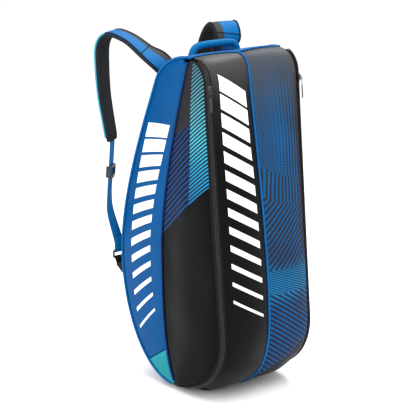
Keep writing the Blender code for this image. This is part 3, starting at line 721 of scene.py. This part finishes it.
def sweep(name, line, frames, section, materials):
    """A closed section carried along a line: frames are (across, up) pairs, section(k) its points there."""
    bm = bmesh.new()
    cut = bm.loops.layers.uv.new("cut")
    first = [bm.verts.new(line[0] + frames[0][0] * x + frames[0][1] * y) for x, y in section(0)]
    edges = list(bm.faces.new(first).edges)
    run = 0.0
    order = list(first)
    place = {v: (x, run) for v, (x, y) in zip(order, section(0))}
    for k in range(1, len(line)):
        grown = bmesh.ops.extrude_edge_only(bm, edges=edges)
        fresh = [g for g in grown["geom"] if isinstance(g, bmesh.types.BMVert)]
        edges = [g for g in grown["geom"] if isinstance(g, bmesh.types.BMEdge) and all(v in fresh for v in g.verts)]
        following = {}
        for v in fresh:
            for e in v.link_edges:
                other = e.other_vert(v)
                if other in place and other not in fresh:
                    following[other] = v
        order = [following[v] for v in order]
        run += (line[k] - line[k - 1]).length
        for v, (x, y) in zip(order, section(k)):
            v.co = line[k] + frames[k][0] * x + frames[k][1] * y
            place[v] = (x, run)
    bm.faces.new(order)
    bmesh.ops.recalc_face_normals(bm, faces=bm.faces)
    for face in bm.faces:
        for loop in face.loops:
            loop[cut].uv = place[loop.vert]
    return finish_mesh(name, bm, materials)


def frames_along(line, wide):
    """Across and up directions along a line, with `wide` the wanted across directions."""
    out = []
    for k in range(len(line)):
        ahead = (line[min(k + 1, len(line) - 1)] - line[max(k - 1, 0)]).normalized()
        side = (wide[k] - ahead * wide[k].dot(ahead)).normalized()
        out.append((side, side.cross(ahead).normalized()))
    return out


def rounded(width, thick, power=4.0, count=24):
    """Points of a rounded flat section."""
    out = []
    for k in range(count):
        t = 2 * math.pi * k / count
        c, s = math.cos(t), math.sin(t)
        x, y = math.copysign(abs(c) ** (2 / power), c), math.copysign(abs(s) ** (2 / power), s)
        out.append((x * width / 2, y * thick / 2))
    return out


def tube(name, points, radius, material, body, nodes=(), slot=None, sides=10, steps=None):
    """A round cord through points, whose section doesn't twist along it."""
    line = catmull([tuple(p) for p in points], steps or len(points) * 3)
    up = Vector((0.31, 0.17, 0.94)).normalized()
    wide = []
    for k in range(len(line)):
        ahead = (line[min(k + 1, len(line) - 1)] - line[max(k - 1, 0)]).normalized()
        if abs(ahead.dot(up)) > 0.95:
            up = Vector((0.9, 0.3, 0.1))
        across_ = ahead.cross(up).normalized()
        up = across_.cross(ahead).normalized()
        wide.append(across_)
    angles = [2 * math.pi * k / sides for k in range(sides)]
    ring = [(radius * math.cos(a), radius * math.sin(a)) for a in angles]
    obj = sweep(name, line, frames_along(line, wide), lambda k: ring, [material])
    return settle(obj, slot, body, *nodes)


def block(bm, size, place, turn, bevel=0.0, segments=2):
    """A block in bm whose local axes are the columns of turn."""
    made = bmesh.ops.create_cube(bm, size=1.0)["verts"]
    bmesh.ops.scale(bm, vec=size, verts=made)
    if bevel:
        edges = list({e for v in made for e in v.link_edges})
        grown = bmesh.ops.bevel(bm, geom=edges, offset=bevel, offset_type="OFFSET", segments=segments, profile=0.5,
                                affect="EDGES", material=-1)
        made = list({v for f in grown["faces"] for v in f.verts} | {v for v in made if v.is_valid})
    bmesh.ops.transform(bm, matrix=Matrix.Translation(place) @ turn.to_4x4(), verts=made)


# ---------------------------------------------------------------- the carcass
def build_shell():
    """The sewn panels of the carcass, its corner inserts and the divider."""
    edge, centre = ZIP_HALF / HALF_FRONT, SEAM / HALF_FRONT
    for side, name, cloth, slot in ((-1, "left", BLACK_PRINTED, "black"), (1, "right", FRONT_PRINT, "print")):
        def lay(a, b, side=side):
            return front_point(0.004 + (FRONT_END - 0.0045) * b, side * (centre + (1 - edge - centre) * a))
        panel(f"{name}_front_cloth", lay, (18, 120), [cloth, LINING], "bag", [f"{name}_front_panel"], slot,
              dent=0.0027, pucker=0.0010)
    side_edge = SEAM / HALF_BACK

    def between(a):
        """From seam to seam across the bag."""
        return -1 + side_edge + (2 - 2 * side_edge) * a

    def back(a, b):
        return back_point(TOP_END + 0.0012 + (BACK_END - TOP_END - 0.0016) * b, between(a))

    def top(a, b):
        return back_point(0.003 + (TOP_END - 0.0042) * b, between(a))

    def base(a, b):
        return base_point(0.002 + 0.996 * b, between(a))

    panel("back_cloth", back, (36, 96), [BLUE, LINING], "bag", ["back_panel"], "blue", dent=0.0024)
    panel("top_cloth", top, (36, 16), [BLUE, LINING], "bag", ["top_panel"], "blue", dent=0.0012)
    panel("base_cloth", base, (36, 20), [BASE, LINING], "bag", ["base_panel"], "black", tuck=0.0, pucker=0.0,
          dent=0.0, inside=(0, 0, 0.2), level=0)
    for side, name in SIDES:
        def upper(a, b, side=side):
            u = 0.026 + (INSERT_TOP - 0.0008 - 0.026) * b
            gap = SEAM / math.dist(HINGE.at(u), BACK.at(u))
            return side_point(u, gap + (1 - 2 * gap) * a, side)

        def lower(a, b, side=side):
            u = INSERT_TOP + 0.0008 + (0.985 - INSERT_TOP) * b
            gap = SEAM / math.dist(HINGE.at(u), BACK.at(u))
            return side_point(u, gap + (1 - 2 * gap) * a, side)

        panel(f"{name}_side_cloth", upper, (22, 104), [BLUE_PRINTED, LINING], "bag", [f"{name}_side_panel"], "blue",
              pucker=0.0011)
        panel(f"{name}_insert_cloth", lower, (18, 16), [TEAL, LINING], "bag", [f"{name}_side_insert"], "teal",
              dent=0.0008)

    def wall(a, b):
        u = 0.05 + (FRONT_END - 0.07) * b
        front, rear = CENTRE.at(u / FRONT_END), BACK.at(u)
        fn, bn = CENTRE.normal(u / FRONT_END), BACK.normal(u)
        p = (front[0] + fn[0] * 0.006, front[1] + fn[1] * 0.006)
        q = (rear[0] - bn[0] * 0.006, rear[1] - bn[1] * 0.006)
        y, z = mix(p, q, a)
        return Vector((0.0015 + 0.0012 * math.sin(8 * b + 3 * a), y, max(0.012, z)))

    panel("divider_cloth", wall, (20, 60), [LINING], "bag", ["compartment_divider"], "lining", tuck=0.0,
          pucker=0.0, dent=0.001, inside=(-1, 0, 0.3))


def build_piping():
    """Cloth-covered cords in the seams."""
    rim_gap = 0.04
    centre = [front_point(0.002 + (FRONT_END - 0.006) * k / 60, 0) for k in range(61)]
    tube("centre_piping_cord", centre, PIPING_RADIUS, PIPING, "bag", ["centre_piping"], "piping", steps=150)
    for side, name in SIDES:
        places = [side * (rim_gap + 0.95 * k / 24) for k in range(25)]
        rim = [(front_point(0, s) + back_point(0, s)) / 2 for s in places]
        tube(f"{name}_rim_cord", rim, PIPING_RADIUS, PIPING, "bag", [f"{name}_rim_piping"], "piping", steps=60)
        hinge = [side_point(0.012 + 0.97 * k / 60, 0, side) for k in range(61)]
        tube(f"{name}_hinge_cord", hinge, HIDDEN_PIPING_RADIUS, DARK_PIPING, "bag", [f"{name}_hinge_piping"], "piping",
             steps=150)
        back = [side_point(0.012 + 0.965 * k / 60, 1, side) for k in range(61)]
        tube(f"{name}_back_cord", back, HIDDEN_PIPING_RADIUS, PIPING, "bag", [f"{name}_back_piping"], "piping", steps=150)
    rear = [back_point(TOP_END, -0.97 + 1.94 * k / 24) for k in range(25)]
    tube("yoke_seam_cord", rear, 0.0016, DARK_PIPING, "bag", steps=50)


def zip_axes(u, side):
    """Line point, run, across (towards the door) and outward directions of a zip at share u."""
    a, b = ZIP.at(u - 0.004), ZIP.at(u + 0.004)
    run = Vector((0, b[0] - a[0], b[1] - a[1])).normalized()
    forward = Vector((0, run.z, -run.y))
    over = (Vector((side, 0, 0)) - forward).normalized()
    out = (Vector((side, 0, 0)) + forward).normalized()
    y, z = ZIP.at(u)
    return Vector((side * half(y), y, z)), run, over, out


def build_zips():
    """Zip tapes on the face and on the cover, with a row of teeth along each."""
    for side, name in SIDES:
        def fixed(a, b, side=side):
            x = 0.0006 + 0.0078 * a
            return front_point(0.030 + (FRONT_END - 0.034) * b, side * (1 - x / HALF_FRONT))

        def moving(a, b, side=side):
            u = 0.030 + 0.955 * b
            x = 0.0020 + 0.0064 * a
            return door_point(u, x / math.dist(ZIP.at(u), HINGE.at(u)), side)

        panel(f"{name}_fixed_tape", fixed, (4, 120), [TAPE], "bag", [f"{name}_zip_tape"], "tape", thickness=0.0012,
              tuck=0.0, pucker=0.0, dent=0.0, level=0)
        panel(f"{name}_cover_tape", moving, (4, 120), [TAPE], f"{name}_door", [f"{name}_door_tape"], "tape",
              thickness=0.0012, tuck=0.0, pucker=0.0, dent=0.0, level=0)
        for part, body, sign, last in (("fixed", "bag", -1, FRONT_END - 0.01), ("cover", f"{name}_door", 1, 0.965)):
            bm = bmesh.new()
            count = int((last - 0.035) * ZIP.length[-1] / ZIP_PITCH)
            for k in range(count):
                u = 0.035 + (last - 0.035) * (k + (0.5 if sign > 0 else 0.0)) / count
                p, run, over, out = zip_axes(u, side)
                turn = Matrix((over, out, run)).transposed()
                block(bm, (0.0032, 0.0016, 0.0012), p + over * sign * 0.0021 + out * 0.0004, turn)
            bmesh.ops.recalc_face_normals(bm, faces=bm.faces)
            teeth = finish_mesh(f"{name}_{part}_teeth", bm, [COIL], smooth_shade=False)
            settle(teeth, "plastic", body)


# ---------------------------------------------------------------- side covers
def build_covers():
    """Side covers, which hinge at the seam behind them on the real bag; here they are built closed and hung on no
    body.
    """
    for side, name in SIDES:
        def cover(a, b, side=side):
            u = 0.016 + 0.968 * b
            wide = math.dist(ZIP.at(u), HINGE.at(u))
            low, high = ZIP_HALF / wide, 1 - 0.0022 / wide
            if high - low < 0.12:
                middle = (low + high) / 2
                low, high = middle - 0.06, middle + 0.06
            return door_point(u, low + (high - low) * a, side)

        obj = panel(f"{name}_cover_cloth", cover, (28, 112), [DOOR_PRINT, LINING], None, [f"{name}_door_panel"],
                    "print", dent=0.0032, pucker=0.0011)
        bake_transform(obj)


# ---------------------------------------------------------------- zip sliders and pulls
def build_sliders():
    """Zip sliders, each with a bridge, a link and a ribbed pull."""
    for side, name in SIDES:
        low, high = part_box(f"{name}_zip_slider")
        place = (low + high) / 2
        u = ZIP.share_where(lambda p: p[1] < place.z + 0.001 and p[0] < -0.10)
        _, run, over, out = zip_axes(u, side)
        turn = Matrix((over, out, run)).transposed()
        bm = bmesh.new()
        block(bm, (0.0078, 0.0012, 0.0150), place - out * 0.0011 + run * 0.002, turn, 0.0005)
        block(bm, (0.0092, 0.0012, 0.0080), place - out * 0.0011 - run * 0.005, turn, 0.0005)
        block(bm, (0.0028, 0.0022, 0.0105), place + out * 0.0006, turn, 0.0007)
        block(bm, (0.0008, 0.0030, 0.0120), place + over * 0.0040 - out * 0.0012, turn, 0.0003)
        block(bm, (0.0008, 0.0030, 0.0120), place - over * 0.0040 - out * 0.0012, turn, 0.0003)
        low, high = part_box(f"{name}_zip_puller")
        reach = ((low + high) / 2 - place).dot(out)
        drop = ((low + high) / 2 - place).dot(run) - 0.0200
        for level in (drop, drop - 0.0052):
            block(bm, (0.0016, reach + 0.0014, 0.0014), place + out * (reach / 2 + 0.0002) + run * level, turn, 0.0005)
        block(bm, (0.0016, 0.0012, 0.0066), place + out * (reach + 0.0010) + run * (drop - 0.0026), turn, 0.0004)
        bmesh.ops.recalc_face_normals(bm, faces=bm.faces)
        body = finish_mesh(f"{name}_slider_body", bm, [ZINC])
        body.data.set_sharp_from_angle(angle=CRISP)
        settle(body, "metal", f"{name}_slider", f"{name}_zip_slider")
        low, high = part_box(f"{name}_zip_puller")
        middle = (low + high) / 2
        bm = bmesh.new()
        for shift in (-0.0021, 0.0021):
            block(bm, (0.0010, 0.0013, 0.0130), middle - run * 0.0150 + over * shift, turn, 0.0004)
        block(bm, (0.0052, 0.0013, 0.0012), middle - run * 0.0210, turn, 0.0004)
        block(bm, (0.0070, 0.0024, 0.0300), middle + run * 0.0065, turn, 0.0009)
        for k in range(5):
            block(bm, (0.0058, 0.0032, 0.0012), middle + run * (0.0005 + 0.0040 * k), turn, 0.0004)
        bmesh.ops.recalc_face_normals(bm, faces=bm.faces)
        pull = finish_mesh(f"{name}_pull_tag", bm, [RUBBER])
        pull.data.set_sharp_from_angle(angle=CRISP)
        settle(pull, "plastic", f"{name}_puller", f"{name}_zip_puller")


# ---------------------------------------------------------------- grab handle
def build_handle():
    """A stuffed grab handle that flattens into its sewn feet, and a tack over each foot."""
    x, y, z = HANDLE_X, HANDLE_Y, HANDLE_Z
    arch = [(-x - 0.001, y, z + 0.0020), (-x, y, z + 0.0120), (-x + 0.004, y, z + 0.0220), (-x + 0.014, y, z + 0.0290),
            (-0.030, y, z + 0.0315), (0, y, z + 0.0320)]
    arch += [(-a, b, c) for a, b, c in reversed(arch[:-1])]
    line = catmull(arch, 61)
    frames = frames_along(line, [Vector((0, 1, 0))] * 61)

    def section(k):
        t = abs(k - 30) / 30
        flat = smooth((t - 0.70) / 0.25)
        wide = 0.0150 + 0.012 * flat
        thick = 0.0150 - 0.0105 * flat
        return rounded(wide, thick, 2.2 + 1.6 * flat, 20)

    obj = sweep("handle_cloth", line, frames, section, [WEBBING])
    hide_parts("grab_handle")
    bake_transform(obj)
    for side, name in SIDES:
        bm = bmesh.new()
        foot = Vector((side * (x + 0.001), y, z + 0.0065))
        block(bm, (0.006, 0.030, 0.0016), foot, Matrix.Identity(3), 0.0005)
        tack = finish_mesh(f"{name}_handle_tack", bm, [BLACK_WEBBING])
        settle(tack, "tape", "bag")


# ---------------------------------------------------------------- straps
PAD_LEFT = [(-0.070, 0.085, 0.684), (-0.080, 0.091, 0.708), (-0.108, 0.108, 0.733), (-0.134, 0.142, 0.765),
            (-0.156, 0.174, 0.776), (-0.167, 0.191, 0.752), (-0.168, 0.193, 0.700), (-0.166, 0.190, 0.640),
            (-0.161, 0.184, 0.585), (-0.157, 0.177, 0.538)]
PAD_RIGHT = [(0.070, 0.085, 0.684), (0.073, 0.076, 0.724), (0.078, 0.062, 0.757), (0.086, 0.083, 0.783),
             (0.094, 0.112, 0.774), (0.099, 0.137, 0.744), (0.103, 0.158, 0.702), (0.107, 0.176, 0.647),
             (0.109, 0.187, 0.592), (0.111, 0.194, 0.537)]
LOOP_LEFT = [(-0.157, 0.177, 0.538), (-0.158, 0.1803, 0.4987), (-0.159, 0.1836, 0.4593), (-0.160, 0.187, 0.420),
             (-0.152, 0.196, 0.375), (-0.1185, 0.2130, 0.300), (-0.117, 0.212, 0.2795)]
LOOP_RIGHT = [(0.111, 0.194, 0.537), (0.1125, 0.1975, 0.498), (0.114, 0.201, 0.459), (0.1155, 0.2045, 0.420),
              (0.1165, 0.208, 0.375), (0.117, 0.2125, 0.310), (0.117, 0.212, 0.2775)]
WIDE_LEFT = (-0.866, -0.50, 0)
WIDE_RIGHT = (1, -0.12, 0)
STRAP_OUT = {"left": -1, "right": 1}  # which way along its frames each strap's outer face looks
RING_X = 0.117
RING = (0.212, 0.2665)


def build_strap(side, name, pad, loop, wide):
    """A padded strap with bound edges and sewn cross seams, and what hangs from it."""
    turn, flat = Vector(wide), Vector((side, 0, 0))
    count = 78
    line = catmull(pad, count)
    share = [k / 3 for k in range(count)]
    widths = [0.036 + 0.032 * smooth(k / 5) - 0.016 * smooth((k - 12) / 13) for k in share]
    turns = [flat.lerp(turn, smooth((k - 1) / 8)) for k in share]
    frames = frames_along(line, turns)

    def section(k):
        ends = min(1.0, 0.45 + min(k, count - 1 - k) / 5)
        return rounded(widths[k], PAD_THICK * ends, 3.2, 32)

    pad_obj = sweep(f"{name}_strap_foam", line, frames, section, [STRAP, MESH])
    for polygon in pad_obj.data.polygons:
        centre = polygon.center
        k = min(range(0, count, 2), key=lambda i: (line[i] - centre).length)
        ends = min(1.0, 0.45 + min(k, count - 1 - k) / 5)
        if (centre - line[k]).dot(frames[k][1]) * STRAP_OUT[name] < 0.0022 * ends:
            polygon.material_index = 1
    subdivide(pad_obj, 1)
    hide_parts(f"{name}_strap_pad")
    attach(pad_obj, f"{name}_strap")
    for edge, sign, first, last, material in (
        ("outer", 1, 2, 36, BLACK_WEBBING),
        ("lower_outer", 1, 36, count - 2, BINDING),
        ("inner", -1, 2, count - 2, BLACK_WEBBING),
    ):
        rail = []
        for k in range(first, last):
            rim = frames[k][0] * sign * (widths[k] / 2 - 0.0020) + frames[k][1] * STRAP_OUT[name] * 0.0042
            rail.append(line[k] + rim)
        tube(f"{name}_strap_{edge}_binding", rail, 0.0021, material, f"{name}_strap", (), "tape", sides=8,
             steps=(last - first) * 3 // 2)
    for label, k in (("upper", 19), ("end", count - 5)):
        seam = []
        for step in range(9):
            part = step / 4 - 1
            over = frames[k][0] * part * (widths[k] / 2 - 0.0015)
            seam.append(line[k] + over + frames[k][1] * STRAP_OUT[name] * (0.0064 - 0.0022 * part**6))
        tube(f"{name}_strap_{label}_seam", seam, 0.0011, BLACK_WEBBING, f"{name}_strap", (), "tape", sides=8, steps=24)
    build_webbing(side, name, loop, turn, flat, line)
    build_ring(side, name)
    build_adjuster(name, loop, turn)


def build_webbing(side, name, loop, turn, flat, pad_line):
    """The strap's webbing, from inside the pad down, round the ring's upper bar and back on itself."""
    line = catmull(loop, 64)
    ahead = (pad_line[-1] - pad_line[-2]).normalized()
    line = [pad_line[-1] - ahead * 0.012, *line[1:]]
    turns = [turn.lerp(flat, smooth((k / 3 - 10) / 10)) for k in range(64)]
    ring = Vector((side * RING_X, *RING)) + Vector((0, 0, 0.0075))
    for step in range(0, 9):
        angle = math.pi * (0.5 - step / 5.5)
        line.append(ring + Vector((0, 0.0034 * math.sin(angle), -0.0034 * math.cos(angle))))
        turns.append(flat)
    for step in range(1, 9):
        line.append(ring + Vector((0, -0.0036 + 0.0002 * step, 0.004 * step)))
        turns.append(flat)
    frames = frames_along(line, turns)
    obj = sweep(f"{name}_webbing_strip", line, frames, lambda k: rounded(WEBBING_WIDE, WEBBING_THICK, 6.0, 12), [WEBBING])
    settle(obj, "webbing", f"{name}_strap", f"{name}_strap_webbing")


def build_ring(side, name):
    """Moulded rectangular ring with rounded corners."""
    centre = Vector((side * RING_X, *RING))
    bm = bmesh.new()
    rims = []
    for wide, tall, corner in ((0.0174, 0.0095, 0.0045), (0.0136, 0.0057, 0.0012)):
        rim = []
        for cx, cz, begin in ((1, 1, 0), (-1, 1, 90), (-1, -1, 180), (1, -1, 270)):
            for k in range(5):
                a = math.radians(begin + 90 * k / 4)
                x, z = cx * (wide - corner) + corner * math.cos(a), cz * (tall - corner) + corner * math.sin(a)
                rim.append(bm.verts.new(centre + Vector((x, 0, z))))
        rims += [bm.edges.new((a, b)) for a, b in zip(rim, rim[1:] + rim[:1])]
    bmesh.ops.bridge_loops(bm, edges=rims)
    grown = bmesh.ops.extrude_face_region(bm, geom=list(bm.faces))
    moved = [v for v in grown["geom"] if isinstance(v, bmesh.types.BMVert)]
    bmesh.ops.translate(bm, vec=(0, 0.0036, 0), verts=moved)
    bmesh.ops.translate(bm, vec=(0, -0.0018, 0), verts=bm.verts)
    bmesh.ops.recalc_face_normals(bm, faces=bm.faces)
    obj = finish_mesh(f"{name}_ring_moulding", bm, [ACETAL], smooth_shade=False)
    edge = obj.modifiers.new("edge", "BEVEL")
    edge.width = 0.0006
    edge.segments = 2
    settle(obj, "plastic", f"{name}_strap", f"{name}_lower_ring")
    low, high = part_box(f"{name}_strap_tab")
    bm = bmesh.new()
    y_in, y_out, middle = low.y - 0.0004, high.y, (high.z + low.z) / 2
    outline = [(y_in, high.z - 0.001), (y_out - 0.001, middle + 0.004), (y_out, middle + 0.001), (y_in + 0.003, low.z)]
    face = bm.faces.new([bm.verts.new((side * RING_X - 0.0125, y, z)) for y, z in outline])
    grown = bmesh.ops.extrude_face_region(bm, geom=[face])
    moved = [v for v in grown["geom"] if isinstance(v, bmesh.types.BMVert)]
    bmesh.ops.translate(bm, vec=(0.025, 0, 0), verts=moved)
    bmesh.ops.recalc_face_normals(bm, faces=bm.faces)
    bmesh.ops.bevel(bm, geom=list(bm.edges), offset=0.0012, offset_type="OFFSET", segments=2, profile=0.5,
                    affect="EDGES", material=-1)
    tab = finish_mesh(f"{name}_tab_cloth", bm, [BLACK_WEBBING])
    settle(tab, "tape", "bag", f"{name}_strap_tab")
    bar = centre + Vector((0, 0, -0.0075))
    foot = Vector((side * RING_X, high.y - 0.0050, middle + 0.0015))
    line = [foot]
    for step in range(9):
        angle = math.pi * (-0.15 + 1.3 * step / 8)
        line.append(bar + Vector((0, -0.0031 * math.cos(angle), 0.0031 * math.sin(angle))))
    line.append(foot + Vector((0, 0.0026, 0.0006)))
    frames = frames_along(line, [Vector((side, 0, 0))] * len(line))
    keeper = sweep(f"{name}_tab_loop", line, frames, lambda k: rounded(0.0225, 0.0013, 6.0, 12), [BLACK_WEBBING])
    settle(keeper, "tape", "bag")


def build_adjuster(name, loop, turn):
    """Ladder lock: two side rails and bars, with a thumb tab that stands off at the foot."""
    line = catmull(loop, 22)
    k = 6
    run = (line[k + 1] - line[k - 1]).normalized()
    over = (turn - turn.project(run)).normalized()
    out = over.cross(run)
    turned = Matrix((over, out, run)).transposed()
    place = line[k]
    bm = bmesh.new()
    gap = 0.0034
    for sign in (-1, 1):
        block(bm, (0.0042, 0.0090, 0.0260), place + over * sign * 0.0158, turned, 0.0009)
    for level, shift in ((gap, -0.0105), (gap, 0.0105), (-gap, 0.0)):
        block(bm, (0.0290, 0.0024, 0.0046), place + out * level + run * shift, turned, 0.0007)
    block(bm, (0.0230, 0.0020, 0.0060), place + out * (gap + 0.0012) + run * 0.0145, turned, 0.0007)
    bmesh.ops.recalc_face_normals(bm, faces=bm.faces)
    obj = finish_mesh(f"{name}_ladder_lock", bm, [ACETAL])
    obj.data.set_sharp_from_angle(angle=CRISP)
    settle(obj, "plastic", f"{name}_adjuster", f"{name}_strap_adjuster")


# ---------------------------------------------------------------- back fittings
def build_back():
    """Back pad, yoke, edge loop and base board."""
    def pad(a, b):
        u, s = 0.285 + 0.235 * b, -0.56 + 1.12 * a
        n = BACK.normal(u)
        rise = 0.0004 + 0.0082 * min(1.0, (min(a, 1 - a) * 11)) ** 0.5 * min(1.0, (min(b, 1 - b) * 16)) ** 0.5
        groove = 0.0024 * math.exp(-(((b * 6) % 1 - 0.5) ** 2) / 0.004) * (1 if 0.04 < a < 0.96 else 0)
        return back_point(u, s) + Vector((0, n[0], n[1])) * (rise - groove)

    obj = panel("back_pad_cloth", pad, (40, 120), [MESH], None, ["back_pad"], "mesh", thickness=0.0004, tuck=0.0,
                pucker=0.0, dent=0.0, level=0)
    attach(obj, "bag")

    def yoke(a, b):
        u, s = 0.150 + 0.045 * b, -0.78 + 1.56 * a
        n = BACK.normal(u)
        rise = 0.0006 + 0.003 * min(1.0, min(a, 1 - a) * 24) ** 0.5 * min(1.0, min(b, 1 - b) * 6) ** 0.5
        return back_point(u, s) + Vector((0, n[0], n[1])) * rise

    panel("yoke_cloth", yoke, (40, 12), [BLUE], "bag", ["strap_yoke"], "strap", thickness=0.0005, tuck=0.0,
          dent=0.0, level=0)
    # the short webbing loop at the back edge, its folds softened
    bm = bmesh.new()
    bm.from_mesh(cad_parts["back_edge_loop"].data)
    bmesh.ops.remove_doubles(bm, verts=bm.verts, dist=0.00002)
    bmesh.ops.dissolve_limit(bm, angle_limit=math.radians(4), verts=bm.verts, edges=bm.edges)
    sharp = [edge for edge in bm.edges if edge.calc_face_angle(0) > math.radians(50)]
    bmesh.ops.bevel(bm, geom=sharp, affect="EDGES", offset=0.0005, segments=2, profile=0.5, material=-1)
    uv = bm.loops.layers.uv.new("cut")
    for face in bm.faces:
        for corner in face.loops:
            corner[uv].uv = (corner.vert.co.x, corner.vert.co.z)
    loop = finish_mesh("edge_loop_webbing", bm, [BLACK_WEBBING])
    settle(loop, "tape", "bag", "back_edge_loop")
    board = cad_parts["base_board"]
    board.data.materials.clear()
    board.data.materials.append(ACETAL)


# ---------------------------------------------------------------- stage, camera, light
def build_stage():
    """Paper floor, white surroundings and lamps."""
    bm = bmesh.new()
    bmesh.ops.create_grid(bm, x_segments=1, y_segments=1, size=9.0)
    bmesh.ops.translate(bm, vec=(0, 0, -0.0006), verts=bm.verts)
    floor = finish_mesh("floor", bm, [FLOOR])
    world = bpy.data.worlds.new("studio")
    bpy.context.scene.world = world
    world.use_nodes = True
    backdrop = world.node_tree.nodes["Background"]
    backdrop.inputs[0].default_value = linear("#FFFFFF")
    backdrop.inputs[1].default_value = 1.0
    for name, place, aim, size, power in (
        ("overhead", (-0.5, -1.0, 2.5), (0, 0, 0.6), 1.6, 34),
        ("left_front", (-2.3, -1.5, 1.5), (0, 0, 0.4), 1.4, 22),
        ("right_front", (1.2, -2.6, 1.3), (0, 0, 0.4), 1.2, 3),
        ("behind_top", (1.5, 0.5, 2.5), (0, -0.08, 0.72), 0.9, 46),
        ("behind_left", (-2.4, 1.2, 0.7), (-0.14, -0.05, 0.4), 0.9, 20),
    ):
        lamp = bpy.data.lights.new(name, "AREA")
        lamp.size = size
        lamp.energy = power
        obj = bpy.data.objects.new(name, lamp)
        obj.location = place
        obj.rotation_euler = (Vector(aim) - Vector(place)).to_track_quat("-Z", "Y").to_euler()
        bpy.context.scene.collection.objects.link(obj)
    bpy.context.scene.view_settings.view_transform = "Standard"


def build_camera():
    azimuth, elevation, distance = math.radians(-41), math.radians(14.5), 3.4
    level = math.cos(elevation)
    back = Vector((math.sin(azimuth) * level, -math.cos(azimuth) * level, math.sin(elevation)))
    camera = bpy.data.cameras.new("camera")
    camera.sensor_width = 36.0
    camera.lens = 453 * distance * 36 / IMAGE
    camera.shift_x = -11 / IMAGE
    camera.shift_y = 5 / IMAGE
    obj = bpy.data.objects.new("camera", camera)
    obj.location = Vector((0, 0, 0.382)) + back * distance
    obj.rotation_mode = "QUATERNION"
    obj.rotation_quaternion = (-back).to_track_quat("-Z", "Y")
    bpy.context.scene.collection.objects.link(obj)
    bpy.context.scene.camera = obj


build_camera()
build_shell()
build_piping()
build_zips()
build_covers()
build_sliders()
build_handle()
build_strap(-1, "left", PAD_LEFT, LOOP_LEFT, WIDE_LEFT)
build_strap(1, "right", PAD_RIGHT, LOOP_RIGHT, WIDE_RIGHT)
build_back()
build_stage()
